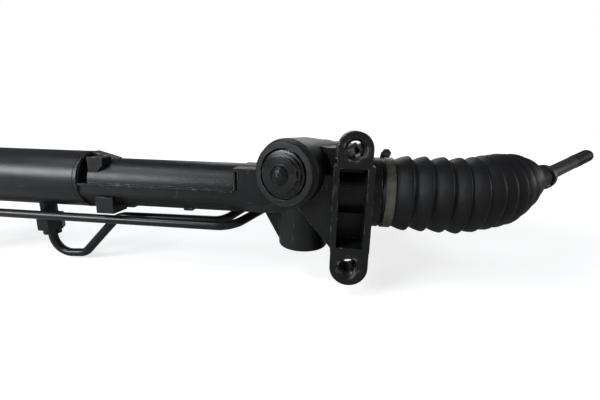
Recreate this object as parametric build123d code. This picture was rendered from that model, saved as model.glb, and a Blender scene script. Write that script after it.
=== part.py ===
from build123d import *
import os
from math import atan2, cos, pi, radians, sin, sqrt, tan

# A hydraulic rack-and-pinion steering gear, in millimetres.
# The model is drawn with the rack axis on X, +Z up and the machined bracket face towards -Y.
# X = 0 is where the pinion crosses the rack. The exported frame starts midway between the
# bracket's two threaded holes, where their threads begin behind the lead-in at the face.

os.makedirs("parts", exist_ok=True)

RUNNING = 0.05
LOOSE = 0.3

# Rack bar and its travel
RACK_R = 13.0
TRAVEL = 66.0
STOP_GAP = 2.0
WASHER_THICK = 2.0
WASHER_R = 18.5

# Rack and pinion teeth
MODULE = 2.0
PINION_TEETH = 8
PRESSURE_ANGLE = 25.0
PROFILE_SHIFT = 0.3
BACKLASH = 0.16
TOOTH_ADDENDUM = 1.0
TOOTH_DEDENDUM = 1.25
PINION_TILT = 19.6
PINION_Z = 17.5
PINION_FACE = 26.0
TOOTHED_LENGTH = 176.0

# Cylinder tube
TUBE_R = 26.0
TUBE_WALL = 3.0
TUBE_RIGHT = -200.0
TUBE_LEFT = -435.0
PORT_BORE_R = 2.5
RIGHT_PORT_X = -252.0
LEFT_PORT_X = -409.0

# Pinion housing casting, along the rack
FLANGE_THICK = 3.0
NECK_LENGTH = 6.0
NECK_R = 17.0
SPIGOT_LENGTH = 46.0
SNOUT_R = 20.3
HOUSING_BORE_R = 15.0
KEEL_HALF_WIDTH = 23.8
KEEL_TOP = 0.0
KEEL_KNEE_Z = -10.0
KEEL_BOTTOM = -21.0
KEEL_BOTTOM_HALF = 13.0
KEEL_CORNER_R = 5.0
RIB_STAND = 1.4
RIB_THICK = 1.6
TOP_LUG_LEFT = -190.0
TOP_LUG_RIGHT = -176.0
TOP_LUG_FRONT = -18.5
TOP_LUG_LOW = 9.0
TOP_LUG_HIGH = 22.5
TOP_LUG_NOTCH = 9.0
LOW_LUG_LEFT = -181.5
LOW_LUG_RIGHT = -165.5
LOW_LUG_FRONT = -24.6
LOW_LUG_BOTTOM = -26.0
LOW_LUG_TOP = -12.0
LUG_ROOT_Y = -6.0
GUSSET_THICK = 12.0
BUMPS_LEFT = (-161.0, -106.0)
BUMP_LENGTH = 8.0
BUMP_DROP = 1.2
BLOCK_LEFT = -57.0
BLOCK_TOP = 18.5
BLOCK_INSET = 3.0
SLOT_LEFT = -55.4
SLOT_WIDTH = 1.8
SLOT_DEPTH = 4.0
SLOT_LOW = -1.3
SLOT_HIGH = 16.2
DIMPLE_X = (-47.0, -41.0)
DIMPLE_WIDTH = 2.2
DIMPLE_DEPTH = 1.5
DIMPLE_INSET = 3.0
HUB_R = 24.5
HUB_LEFT = -26.0
BOOT_SEAT_R = 26.0
NECK_RING_R = 29.6
NECK_RING_LEFT = 57.0
NECK_RING_RIGHT = 63.2
HOUSING_RIGHT = 73.0

# Pinion boss, distances along the pinion axis from the crossing point, negative to the front
BOSS_FRONT = -40.3
BOSS_RING_R = 25.1
BOSS_RING_LENGTH = 3.4
BOSS_STEP = 1.6
BOSS_GROOVE_R = 24.3
BOSS_R = 27.2
BOSS_BACK = 38.0
BOSS_TAPER = 3.0
BOSS_EDGE = 0.8
BACK_FLANGE_THICK = 9.0
CAP_BORE_R = 20.0
BEARING_OUTER_R = 17.5
PINION_SHOULDER_R = 9.4
PINION_CORE_R = 5.6
PINION_THREAD_R = 6.0
PINION_THREAD_LENGTH = 8.0
PINION_NUT_AF = 19.0
PINION_NUT_LENGTH = 6.5
BEARING_BORE_R = 7.5
BEARING_FRONT = -30.0
BEARING_WIDTH = 11.0
BALL_R = 2.0
BALL_PITCH_R = 12.5
BALL_COUNT = 9
PINION_CAVITY_R = 11.5
JOURNAL_R = 9.0
BUSH_R = 12.0
BUSH_START = 17.0
BUSH_LENGTH = 10.0
VALVE_SEAL_R = 15.0
VALVE_SEAL_START = 30.0
VALVE_SEAL_LENGTH = 7.0

# Valve housing and its contents
VALVE_R = 21.0
VALVE_BORE_R = 17.0
TOP_BEARING_R = 13.0
TOP_BEARING_LENGTH = 12.0
TOP_SEAL_R = 14.0
TOP_SEAL_LENGTH = 6.0
TOP_SEAL_ROOM = 6.0
SLEEVE_START = 46.0
SLEEVE_LENGTH = 48.0
SLEEVE_GAP = 4.0
SLEEVE_RING_WIDTH = 1.6
SLEEVE_RING_DEPTH = 3.0
SLEEVE_RING_COUNT = 4
INPUT_R = 9.5
INPUT_START = 50.0
INPUT_REACH = 30.0
SPLINE_R = 8.5
SPLINE_ROOT_R = 7.7
SPLINE_COUNT = 24
SPLINE_LENGTH = 26.0
TORSION_HEAD_R = 4.9
TORSION_R = 3.0
TORSION_START = 24.0
TORSION_INSET = 11.0
TORSION_HEAD = 10.0
CROSS_PIN_R = 2.0
EAR_REACH = 32.0
EAR_R = 8.5
EAR_BOLT_R = 4.0
EAR_HEAD_AF = 13.0
EAR_HEAD_HEIGHT = 5.5
VALVE_FLANGE_THICK = 9.0
VALVE_RIM = 3.0
VALVE_STEP = 2.0
VALVE_SHOULDER = 4.0
LINE_PORT_REACH = 30.0
LINE_PORT_R = 9.5
SHORT_LINE_PORT = 66.0
NUTS_APART = 0.9
SUPPLY_PORT = 66.0
HOSE_PORTS_APART = 2.0
HOSE_PORT_TILT = 20.0
SUPPLY_THREAD_R = 8.0
RETURN_THREAD_R = 7.0
SUPPLY_BOSS_R = 12.0
RETURN_BOSS_R = 11.0
PORT_THREAD_LENGTH = 12.0

# End cap in the pinion boss
CAP_RIM_R = 18.5
CAP_STEP_R = 16.5
CAP_DISC_R = 14.3
CAP_DOME_R = 7.9
CAP_RIM_RISE = 0.5
CAP_STEP_RISE = 3.0
CAP_DISC_RISE = 5.6
CAP_DOME_RISE = 9.4
CAP_WALL = 1.6
CAP_SKIRT = 9.0
CAP_SKIRT_START = 4.0
CAP_EDGE = 0.6
DOME_SHAPE = ((0.5, 0.6), (0.85, 2.0))

# Rack guide yoke in its boss under the pinion
YOKE_R = 16.0
YOKE_HEIGHT = 21.0
YOKE_TOP = -8.6
YOKE_PAD_THICK = 1.0
YOKE_BOSS_BOTTOM = -51.5
YOKE_BOSS_TOP_R = 23.0
YOKE_BOSS_BOTTOM_R = 21.6
YOKE_PLUG_R = 18.0
YOKE_PLUG_THICK = 8.0
LOCK_NUT_THICK = 4.0
YOKE_BOSS_EDGE_R = 2.5
SPRING_R = 8.0
SPRING_WIRE_R = 1.4
SPRING_TURNS = 3.5
SPRING_POCKET = 8.0
SPRING_POCKET_GAP = 0.6
PLUG_HEX_AF = 14.0
PLUG_HEX_FLOOR = 3.0
LOCK_NUT_BORE_R = 11.0
LOCK_NUT_INSET = 0.6
LOCK_NUT_NOTCH = 5.0
PAD_SHARE = 0.8

# Bracket with two threaded lugs
BRACKET_X = 40.5
BRACKET_WIDTH = 31.0
BRACKET_FACE_Y = -36.0
BRACKET_BACK_Y = -7.0
UPPER_HOLE_Z = 38.0
LOWER_HOLE_Z = -56.0
LUG_THREAD_R = 7.0
LUG_MOUTH_R = 8.4
LUG_MOUTH_DEPTH = 1.4
UPPER_LUG_R = 13.4
LOWER_LUG_R = 15.2
POCKET_LEFT_WALL = 4.4
POCKET_RIGHT_WALL = 5.2
POCKET_TOP = 23.6
POCKET_BOTTOM = -39.6
POCKET_TUBE_R = 20.0
POCKET_BACK_WALL = 3.0
BRACKET_LOW_EDGE = 13.0
BRACKET_CORE_BACK = 8.0
BRACKET_CORE_LOW = -30.0
BRACKET_CORE_HIGH = 28.0

# Webs of the casting
WEB_FACE_Y = -30.0
WEB_TOP = 17.0
SADDLE_TOP = 38.5
SADDLE_HALF = 16.0
SADDLE_DIP_R = 27.2
SADDLE_DIP_SIDE = 3.0
SADDLE_DIP_RISE = 26.0
LEFT_WEB_HALF = 4.0
LEFT_WEB_TIP = (-21.5, -46.0)
LEFT_WEB_FOOT = (-16.0, -48.0)
LEFT_WEB_TOP_X = (-37.0, -20.0)
RIGHT_WEB_START = -6.0
RIGHT_WEB_FOOT = -43.5

# Rack bushing, seals and gland
RACK_BUSH_R = 17.0
RACK_BUSH_LENGTH = 19.0
RACK_BUSH_INSET = 2.0
SEAL_R = 18.0
SEAL_LENGTH = 8.0
GLAND_LENGTH = 18.0
GLAND_INSET = 4.0
GLAND_BUSH_R = 16.0
GLAND_BUSH_LENGTH = 6.0
SNAP_RING_THICK = 1.8
SNAP_RING_DEPTH = 0.9
SNAP_RING_IN_R = 20.0

# Piston
PISTON_X = -331.0
PISTON_LENGTH = 16.0
PISTON_RING_LENGTH = 4.0
PISTON_RING_DEPTH = 2.4

# Inner ball joints and tie rods
SOCKET_R = 18.0
SOCKET_BACK = 20.0
SOCKET_FRONT = 5.4
SOCKET_FLAT_AF = 32.0
SOCKET_FLAT_LENGTH = 9.0
SOCKET_STUD_R = 8.0
SOCKET_STUD_LENGTH = 20.0
SOCKET_LIP_START = 2.5
SOCKET_LIP = 1.6
JOINT_BALL_R = 14.0
SEAT_THICK = 1.2
SEAT_LIP_ANGLE = 69.0
ROD_NECK_R = 5.0
ROD_NECK_LENGTH = 34.0
ROD_SHOULDER = 5.0
ROD_TIP_LENGTH = 3.0
ROD_TIP_DROP = 3.0
ROD_R = 6.6
ROD_THREAD_R = 7.0
ROD_THREAD_LENGTH = 44.0
ROD_LENGTH = 196.0
RIGHT_SWEEP = 40.0
RIGHT_RISE = 8.6
LEFT_SWEEP = 14.0
LEFT_RISE = -6.0

# Boots and their clamps
BOOT_WALL = 1.7
CUFF_WALL = 2.7
CUFF_GAP = 0.4
BELLOWS_CORE_R = 26.4
CREST_R = 32.0
CONVOLUTIONS = 12
CONVOLUTION_BASE = 9.6
CONVOLUTION_ROOT = 2.0
CREST_WIDTH = 2.6
BEND_TANGENT = 28.0
BOOT_REACH = 60.0
END_CONE_LENGTH = 14.0
CONE_STEP = 0.2
CONE_LEAD = 3.0
CONE_MOUTH = 0.5
INNER_CREST_STEP = 1.4
END_CUFF_R = 9.6
END_CUFF_LENGTH = 12.0
TAPERED_CONVOLUTIONS = 4
TAPER_STEP = 1.5
BAND_THICK = 1.2
BAND_WIDTH = 7.2
BAND_INSET = 2.8
BAND_SCREW_ANGLE = 38.0
BAND_SCREW_R = 3.2
BAND_SCREW_LENGTH = 15.0
BAND_LUG_LENGTH = 12.0
BAND_LUG_EDGE = 1.0
BAND_HEAD_AF = 7.2
BAND_HEAD_LENGTH = 4.0
CLIP_WIRE_R = 0.9
CLIP_SHARE = 0.35

# Left mount: rubber bush and steel saddle round the tube
MOUNT_X = -381.0
BUSH_WIDTH = 34.0
BUSH_THICK = 5.0
SADDLE_WIDTH = 28.0
SADDLE_THICK = 4.0
SADDLE_EAR_TOP = 60.0
SADDLE_HOLE_Z = 47.0
SADDLE_HOLE_R = 5.5
SADDLE_CORNER_R = 9.0

# Hydraulic lines between the tube and the valve housing
LINE_R = 4.0
LINE_BORE_R = 2.8
PORT_BOSS_R = 7.0
PORT_BOSS_DROP = 11.0
NUT_AF = 20.0
NUT_LENGTH = 15.0
NUT_COLLAR_R = 7.6
NUT_COLLAR_LENGTH = 5.0
LINE_LEAD = 12.0
SHORT_LINE_POINTS = (
    (RIGHT_PORT_X, 0, -78), (-219, 0, -76), (-181, 2, -36), (-78, 8, -36.5), (-50, 34, -20),
)
SHORT_LINE_RADII = (18, 12, 22, 22, 20, 12)
LONG_LINE_POINTS = (
    (LEFT_PORT_X, 0, -80), (-370, -10, -74), (-334, -16, -34), (-62, -16, -34), (-30, 36, -21),
)
LONG_LINE_RADII = (18, 16, 22, 24, 20, 9)

# Values that follow from the ones above
RACK_BORE_R = RACK_R + RUNNING
TUBE_BORE_R = TUBE_R - TUBE_WALL
SPIGOT_LEFT = TUBE_RIGHT - SPIGOT_LENGTH
FLANGE_RIGHT = TUBE_RIGHT + FLANGE_THICK
SNOUT_LEFT = FLANGE_RIGHT + NECK_LENGTH
RACK_RIGHT = HOUSING_RIGHT + TRAVEL + STOP_GAP
RIGHT_BALL_X = RACK_RIGHT + WASHER_THICK + SOCKET_BACK
RACK_LEFT = TUBE_LEFT - TRAVEL - STOP_GAP
LEFT_BALL_X = RACK_LEFT - WASHER_THICK - SOCKET_BACK
PITCH = pi * MODULE
PITCH_R = MODULE * PINION_TEETH / 2
RACK_LINE_Z = PINION_Z - PITCH_R - PROFILE_SHIFT * MODULE
TOOTH_TOP_Z = RACK_LINE_Z + TOOTH_ADDENDUM * MODULE
TOOTH_ROOT_Z = RACK_LINE_Z - TOOTH_DEDENDUM * MODULE
RACK_PITCH_X = PITCH / cos(radians(PINION_TILT))
BRACKET_LEFT = BRACKET_X - BRACKET_WIDTH / 2
BRACKET_RIGHT = BRACKET_X + BRACKET_WIDTH / 2
BEARING_BACK = BEARING_FRONT + BEARING_WIDTH
BOSS_RING_BACK = BOSS_FRONT + BOSS_RING_LENGTH
BOSS_BODY_FRONT = BOSS_RING_BACK + BOSS_STEP
GLAND_LEFT = TUBE_LEFT + GLAND_INSET
GLAND_RIGHT = GLAND_LEFT + GLAND_LENGTH
SNAP_RING_LEFT = GLAND_LEFT - SNAP_RING_THICK
SNAP_RING_OUT_R = TUBE_BORE_R + SNAP_RING_DEPTH
PISTON_GROOVE_R = TUBE_BORE_R - PISTON_RING_DEPTH
BUSH_OUTER_R = TUBE_R + BUSH_THICK
CUFF_R = BOOT_SEAT_R + CUFF_WALL
CUFF_LENGTH = HOUSING_RIGHT - NECK_RING_RIGHT + CUFF_GAP - LOOSE
YOKE_PLUG_TOP = -YOKE_BOSS_BOTTOM - YOKE_PLUG_THICK - LOCK_NUT_THICK
SLEEVE_RING_R = VALVE_BORE_R - SLEEVE_RING_DEPTH
RIGHT_BUSH_LEFT = HOUSING_RIGHT - RACK_BUSH_INSET - RACK_BUSH_LENGTH
BEARING_RACE_IN_R = BALL_PITCH_R + BALL_R + RUNNING
BEARING_RACE_OUT_R = BALL_PITCH_R - BALL_R - RUNNING
VALVE_BORE_END = SLEEVE_START + SLEEVE_LENGTH + SLEEVE_GAP
VALVE_END = VALVE_BORE_END + TOP_BEARING_LENGTH + TOP_SEAL_LENGTH + TOP_SEAL_ROOM
INPUT_END = VALVE_END + INPUT_REACH
TORSION_END = VALVE_END - TORSION_INSET
LONG_LINE_PORT = SHORT_LINE_PORT + 2 * NUT_AF / sqrt(3) + NUTS_APART
RETURN_PORT = SUPPLY_PORT + SUPPLY_BOSS_R + RETURN_BOSS_R + HOSE_PORTS_APART
ORIGIN = (BRACKET_X, BRACKET_FACE_Y + LUG_MOUTH_DEPTH, (UPPER_HOLE_Z + LOWER_HOLE_Z) / 2)

ALONG_RACK = Plane.YZ
TILT = radians(PINION_TILT)
ACROSS = Vector(cos(TILT), -sin(TILT), 0)
INWARD = Vector(sin(TILT), cos(TILT), 0)
PINION_AXIS = Plane(origin=(0, 0, PINION_Z), x_dir=ACROSS, z_dir=INWARD)
DOWN = Plane(origin=(0, 0, 0), x_dir=(1, 0, 0), z_dir=(0, 0, -1))


def turned(profile, plane):
    """A solid of revolution about the plane's normal, from (radius, distance) points."""
    outline = Polyline(*[(r, 0, s) for r, s in profile], close=True)
    return plane.location * revolve(make_face(outline), Axis.Z)


def disc(radius, start, end, plane):
    return turned([(0, start), (radius, start), (radius, end), (0, end)], plane)


def ring(outer, inner, start, end, plane):
    return turned([(inner, start), (outer, start), (outer, end), (inner, end)], plane)


def collar(outer, inner, start, length, plane):
    return ring(outer, inner, start, start + length, plane)


def block(x0, x1, y0, y1, z0, z1):
    centre = ((x0 + x1) / 2, (y0 + y1) / 2, (z0 + z1) / 2)
    return Pos(*centre) * Box(x1 - x0, y1 - y0, z1 - z0)


def plate_xz(points, y0, y1):
    outline = Polyline(*[(x, y0, z) for x, z in points], close=True)
    return extrude(make_face(outline), amount=y1 - y0, dir=(0, 1, 0))


def bar_yz(points, x0, x1):
    outline = Polyline(*[(x0, y, z) for y, z in points], close=True)
    return extrude(make_face(outline), amount=x1 - x0, dir=(1, 0, 0))


def hex_prism(across_flats, start, end, plane):
    sketch = RegularPolygon(across_flats / sqrt(3), 6)
    return plane.location * (Pos(0, 0, start) * extrude(sketch, amount=end - start))


def beside_pinion(distance, reach, side, tilt=0.0):
    """A plane on the pinion axis at a distance, with its normal pointing sideways and up by the tilt."""
    centre = Vector(0, 0, PINION_Z) + INWARD * distance
    out = ACROSS * (side * cos(radians(tilt))) + Vector(0, 0, sin(radians(tilt)))
    return Plane(origin=centre, x_dir=INWARD, z_dir=out).offset(reach)


def rack_bar():
    bar = disc(RACK_R, RACK_LEFT, RACK_RIGHT, ALONG_RACK)
    half = TOOTHED_LENGTH / 2
    bar -= block(-half, half, -RACK_R, RACK_R, TOOTH_TOP_Z, RACK_R + 1)
    slope = tan(radians(PRESSURE_ANGLE))
    over = TOOTH_TOP_Z + 1 - RACK_LINE_Z
    under = RACK_LINE_Z - TOOTH_ROOT_Z
    mid = (PITCH / 2 + BACKLASH) / 2
    low = mid - under * slope
    high = mid + over * slope
    reach = INWARD * (2 * RACK_R)
    spaces = 2 * int(TOOTHED_LENGTH / RACK_PITCH_X / 2)
    cutters = []
    for n in range(spaces):
        centre = Vector((n + 0.5 - spaces / 2) * RACK_PITCH_X, 0, RACK_LINE_Z) - reach / 2
        corners = [(-low, -under), (low, -under), (high, over), (-high, over)]
        outline = Polyline(*[centre + ACROSS * a + Vector(0, 0, b) for a, b in corners], close=True)
        cutters.append(extrude(make_face(outline), amount=reach.length, dir=INWARD))
    bar -= cutters
    for end, way in ((RACK_LEFT, 1), (RACK_RIGHT, -1)):
        start, stop = sorted((end, end + way * SOCKET_STUD_LENGTH))
        bar -= disc(SOCKET_STUD_R, start, stop, ALONG_RACK)
    return bar


def involute_half_angle(radius):
    """Half the angle that a pinion tooth fills at a radius."""
    pressure = radians(PRESSURE_ANGLE)
    base = PITCH_R * cos(pressure)
    thickness = MODULE * (pi / 2 + 2 * PROFILE_SHIFT * tan(pressure)) - BACKLASH
    at_pitch = tan(pressure) - pressure
    if radius <= base:
        return thickness / (2 * PITCH_R) + at_pitch
    angle = sqrt((radius / base) ** 2 - 1)
    return thickness / (2 * PITCH_R) + at_pitch - (angle - atan2(angle, 1))


def pinion_outline():
    base = PITCH_R * cos(radians(PRESSURE_ANGLE))
    root = PITCH_R - (TOOTH_DEDENDUM - PROFILE_SHIFT) * MODULE
    tip = PITCH_R + (TOOTH_ADDENDUM + PROFILE_SHIFT) * MODULE
    steps = 6
    flank = [root] + [base + (tip - base) * k / steps for k in range(steps + 1)]
    points = []
    for tooth in range(PINION_TEETH):
        middle = pi / 2 + (tooth + 0.5) * 2 * pi / PINION_TEETH
        for r in flank:
            a = middle - involute_half_angle(r)
            points.append((r * cos(a), r * sin(a)))
        for r in reversed(flank):
            a = middle + involute_half_angle(r)
            points.append((r * cos(a), r * sin(a)))
    return make_face(Polyline(*points, close=True))


def pinion_shaft():
    half = PINION_FACE / 2
    thread_start = BEARING_FRONT - PINION_THREAD_LENGTH
    profile = [
        (0, thread_start), (PINION_THREAD_R, thread_start), (PINION_THREAD_R, BEARING_FRONT),
        (BEARING_BORE_R, BEARING_FRONT), (BEARING_BORE_R, BEARING_BACK), (PINION_SHOULDER_R, BEARING_BACK),
        (PINION_SHOULDER_R, -half), (PINION_CORE_R, -half), (PINION_CORE_R, half), (JOURNAL_R, half),
        (JOURNAL_R, BOSS_BACK + 1), (SLEEVE_RING_R, BOSS_BACK + 1),
        (SLEEVE_RING_R, SLEEVE_START), (TORSION_HEAD_R + RUNNING, SLEEVE_START),
        (TORSION_HEAD_R + RUNNING, TORSION_START - 1), (0, TORSION_START - 1),
    ]
    gear = PINION_AXIS.location * (Pos(0, 0, -half) * extrude(pinion_outline(), amount=PINION_FACE))
    return turned(profile, PINION_AXIS) + gear


def lug(hole_z, radius, to_z):
    body = Pos(BRACKET_X, 0, hole_z) * Rot(90, 0, 0) * Cylinder(radius, BRACKET_BACK_Y - BRACKET_FACE_Y)
    body = Pos(0, (BRACKET_BACK_Y + BRACKET_FACE_Y) / 2, 0) * body
    low, high = sorted((hole_z, to_z))
    return body + block(BRACKET_X - radius, BRACKET_X + radius, BRACKET_FACE_Y, BRACKET_BACK_Y, low, high)


def lug_hole(hole_z):
    into = Plane(origin=(BRACKET_X, BRACKET_FACE_Y, hole_z), x_dir=(1, 0, 0), z_dir=(0, 1, 0))
    depth = BRACKET_BACK_Y - BRACKET_FACE_Y + 1
    return turned(
        [(0, -1), (LUG_MOUTH_R + 1, -1), (LUG_MOUTH_R, 0), (LUG_THREAD_R, LUG_MOUTH_DEPTH),
         (LUG_THREAD_R, depth), (0, depth)], into)


def snout():
    body = disc(SNOUT_R, SNOUT_LEFT, BRACKET_LEFT, ALONG_RACK)
    body += disc(NECK_R, FLANGE_RIGHT - 1, SNOUT_LEFT + 1, ALONG_RACK)
    body += disc(TUBE_R, TUBE_RIGHT, FLANGE_RIGHT, ALONG_RACK)
    body += disc(TUBE_BORE_R, SPIGOT_LEFT, TUBE_RIGHT + 1, ALONG_RACK)
    keel = [
        (-KEEL_HALF_WIDTH, KEEL_TOP), (-KEEL_HALF_WIDTH, KEEL_KNEE_Z), (-KEEL_BOTTOM_HALF, KEEL_BOTTOM),
        (KEEL_BOTTOM_HALF, KEEL_BOTTOM), (KEEL_HALF_WIDTH, KEEL_KNEE_Z), (KEEL_HALF_WIDTH, KEEL_TOP),
    ]
    keel_solid = bar_yz(keel, FLANGE_RIGHT - 1, BRACKET_LEFT)
    soft = keel_solid.edges().filter_by(Axis.X).filter_by(lambda e: e.center().Z < KEEL_TOP - 1)
    keel_solid = fillet(soft, KEEL_CORNER_R)
    rib = KEEL_HALF_WIDTH + RIB_STAND
    keel_solid += block(FLANGE_RIGHT - 1, BLOCK_LEFT, -rib, rib, KEEL_TOP - RIB_THICK, KEEL_TOP)
    return body + keel_solid


def snout_lugs():
    top = block(TOP_LUG_LEFT, TOP_LUG_RIGHT, TOP_LUG_FRONT, LUG_ROOT_Y, TOP_LUG_LOW, TOP_LUG_HIGH)
    notch = Box(TOP_LUG_NOTCH, TOP_LUG_NOTCH, TOP_LUG_NOTCH)
    top -= Pos(TOP_LUG_RIGHT, TOP_LUG_FRONT, TOP_LUG_LOW) * Rot(0, 45, 0) * notch
    low = block(LOW_LUG_LEFT, LOW_LUG_RIGHT, LOW_LUG_FRONT, LUG_ROOT_Y, LOW_LUG_BOTTOM, LOW_LUG_TOP)
    foot = SNOUT_R - GUSSET_THICK / 2
    left = FLANGE_RIGHT - 1
    outline = [(left, foot), (left, TUBE_R), (TOP_LUG_RIGHT, SNOUT_R), (TOP_LUG_RIGHT, foot)]
    gusset = plate_xz(outline, -GUSSET_THICK / 4, GUSSET_THICK * 3 / 4)
    bumps = [
        block(x, x + BUMP_LENGTH, -KEEL_BOTTOM_HALF - 1, LUG_ROOT_Y, KEEL_BOTTOM - BUMP_DROP, KEEL_BOTTOM + 1)
        for x in BUMPS_LEFT
    ]
    return [top, low, gusset, *bumps]


def square_block():
    body = block(BLOCK_LEFT, HUB_LEFT + 8, -KEEL_HALF_WIDTH, KEEL_HALF_WIDTH, KEEL_KNEE_Z, BLOCK_TOP)
    slot_back = -KEEL_HALF_WIDTH + SLOT_DEPTH
    slot = block(SLOT_LEFT, SLOT_LEFT + SLOT_WIDTH, -KEEL_HALF_WIDTH - 1, slot_back, SLOT_LOW, SLOT_HIGH)
    front = -KEEL_HALF_WIDTH + DIMPLE_INSET
    dimple = block(*DIMPLE_X, front, front + DIMPLE_WIDTH, BLOCK_TOP - DIMPLE_DEPTH, BLOCK_TOP + 1)
    return body - slot - dimple


def pinion_boss():
    boss = turned(
        [(0, BOSS_FRONT), (BOSS_RING_R - BOSS_EDGE, BOSS_FRONT), (BOSS_RING_R, BOSS_FRONT + BOSS_EDGE),
         (BOSS_RING_R, BOSS_RING_BACK), (BOSS_GROOVE_R, BOSS_RING_BACK + BOSS_EDGE / 2),
         (BOSS_GROOVE_R, BOSS_BODY_FRONT - 1), (BOSS_R, BOSS_BODY_FRONT + 1), (BOSS_R, 0),
         (BOSS_R - BOSS_TAPER, BOSS_BACK), (0, BOSS_BACK)], PINION_AXIS)
    for side in (-1, 1):
        boss += flange_ear(side, BOSS_BACK - BACK_FLANGE_THICK, BOSS_BACK)
    return boss


def flange_ear(side, start, end):
    thickness = end - start
    sketch = Pos(side * EAR_REACH, 0) * Circle(EAR_R)
    sketch += Pos(side * EAR_REACH / 2, 0) * Rectangle(EAR_REACH, 2 * EAR_R)
    return PINION_AXIS.location * (Pos(0, 0, start) * extrude(sketch, amount=thickness))


def yoke_boss():
    boss = Solid.make_cone(YOKE_BOSS_TOP_R, YOKE_BOSS_BOTTOM_R, -YOKE_BOSS_BOTTOM, DOWN)
    rim = boss.edges().filter_by(lambda e: e.center().Z < YOKE_BOSS_BOTTOM + 1)
    return fillet(rim.filter_by(GeomType.CIRCLE), YOKE_BOSS_EDGE_R)


def webs():
    top = KEEL_BOTTOM + BLOCK_INSET
    outline = [(LEFT_WEB_TOP_X[0], top), (LEFT_WEB_TOP_X[1], top), LEFT_WEB_FOOT, LEFT_WEB_TIP]
    left = plate_xz(outline, -LEFT_WEB_HALF, LEFT_WEB_HALF)
    start = RIGHT_WEB_START
    end = BRACKET_LEFT + 1
    right = plate_xz([(start, WEB_TOP), (start, start), (end, RIGHT_WEB_FOOT), (end, WEB_TOP)], WEB_FACE_Y,
                     -LEFT_WEB_HALF)
    crest = block(-2, end, -SADDLE_HALF, SADDLE_HALF, KEEL_TOP, SADDLE_TOP)
    dip = Rot(90, 0, 0) * Cylinder(SADDLE_DIP_R, 4 * SADDLE_HALF)
    dip = Pos(BRACKET_LEFT - SADDLE_DIP_SIDE, 0, SADDLE_TOP + SADDLE_DIP_RISE) * dip
    return [left, right, crest - dip]


def bracket():
    bottom = LOWER_HOLE_Z + BRACKET_LOW_EDGE
    body = block(BRACKET_LEFT, BRACKET_RIGHT, BRACKET_FACE_Y, BRACKET_BACK_Y, bottom, POCKET_TOP + 2)
    body += lug(UPPER_HOLE_Z, UPPER_LUG_R, POCKET_TOP)
    body += lug(LOWER_HOLE_Z, LOWER_LUG_R, POCKET_BOTTOM)
    body -= block(BRACKET_LEFT + POCKET_LEFT_WALL, BRACKET_RIGHT - POCKET_RIGHT_WALL, BRACKET_FACE_Y - 1,
                  BRACKET_BACK_Y - POCKET_BACK_WALL, POCKET_BOTTOM, POCKET_TOP)
    return body + block(BRACKET_LEFT, BRACKET_RIGHT, BRACKET_BACK_Y - 1, BRACKET_CORE_BACK, BRACKET_CORE_LOW,
                        BRACKET_CORE_HIGH)


def pinion_housing():
    body = snout()
    body += disc(HUB_R, HUB_LEFT, BRACKET_LEFT + 2, ALONG_RACK)
    body += snout_lugs()
    body += square_block()
    body += pinion_boss()
    body += yoke_boss()
    body += webs()
    body += bracket()
    body += disc(POCKET_TUBE_R, BRACKET_LEFT, NECK_RING_LEFT, ALONG_RACK)
    body += disc(BOOT_SEAT_R, BRACKET_RIGHT - 4, HOUSING_RIGHT, ALONG_RACK)
    body += disc(NECK_RING_R, NECK_RING_LEFT, NECK_RING_RIGHT, ALONG_RACK)
    body -= disc(HOUSING_BORE_R, SNOUT_LEFT, HOUSING_RIGHT + 1, ALONG_RACK)
    body -= disc(RACK_BORE_R + LOOSE, SPIGOT_LEFT - 1, SNOUT_LEFT + 1, ALONG_RACK)
    body -= disc(SEAL_R, SPIGOT_LEFT - 1, SPIGOT_LEFT + SEAL_LENGTH + 1, ALONG_RACK)
    body -= disc(RACK_BUSH_R, RIGHT_BUSH_LEFT, HOUSING_RIGHT + 1, ALONG_RACK)
    body -= turned(
        [(0, BOSS_FRONT - 1), (CAP_BORE_R, BOSS_FRONT - 1), (CAP_BORE_R, BEARING_FRONT),
         (BEARING_OUTER_R, BEARING_FRONT), (BEARING_OUTER_R, BEARING_BACK), (PINION_CAVITY_R, BEARING_BACK),
         (PINION_CAVITY_R, BUSH_START), (BUSH_R, BUSH_START), (BUSH_R, VALVE_SEAL_START),
         (VALVE_SEAL_R, VALVE_SEAL_START), (VALVE_SEAL_R, BOSS_BACK + 1), (0, BOSS_BACK + 1)], PINION_AXIS)
    for side in (-1, 1):
        hole = Cylinder(EAR_BOLT_R, 4 * BACK_FLANGE_THICK)
        body -= PINION_AXIS.location * Pos(side * EAR_REACH, 0, BOSS_BACK - BACK_FLANGE_THICK) * hole
    body -= disc(YOKE_R + RUNNING, 0, -YOKE_BOSS_BOTTOM - 2, DOWN)
    body -= disc(YOKE_PLUG_R, YOKE_PLUG_TOP, -YOKE_BOSS_BOTTOM + 1, DOWN)
    for hole_z in (UPPER_HOLE_Z, LOWER_HOLE_Z):
        body -= lug_hole(hole_z)
    return body


def cylinder_tube():
    tube = ring(TUBE_R, TUBE_BORE_R, TUBE_LEFT, TUBE_RIGHT, ALONG_RACK)
    tube -= ring(SNAP_RING_OUT_R, TUBE_BORE_R - 1, SNAP_RING_LEFT, GLAND_LEFT, ALONG_RACK)
    for x in (RIGHT_PORT_X, LEFT_PORT_X):
        tube -= Pos(x, 0, 0) * disc(PORT_BORE_R, 0, TUBE_R + 1, DOWN)
    return tube


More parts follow.
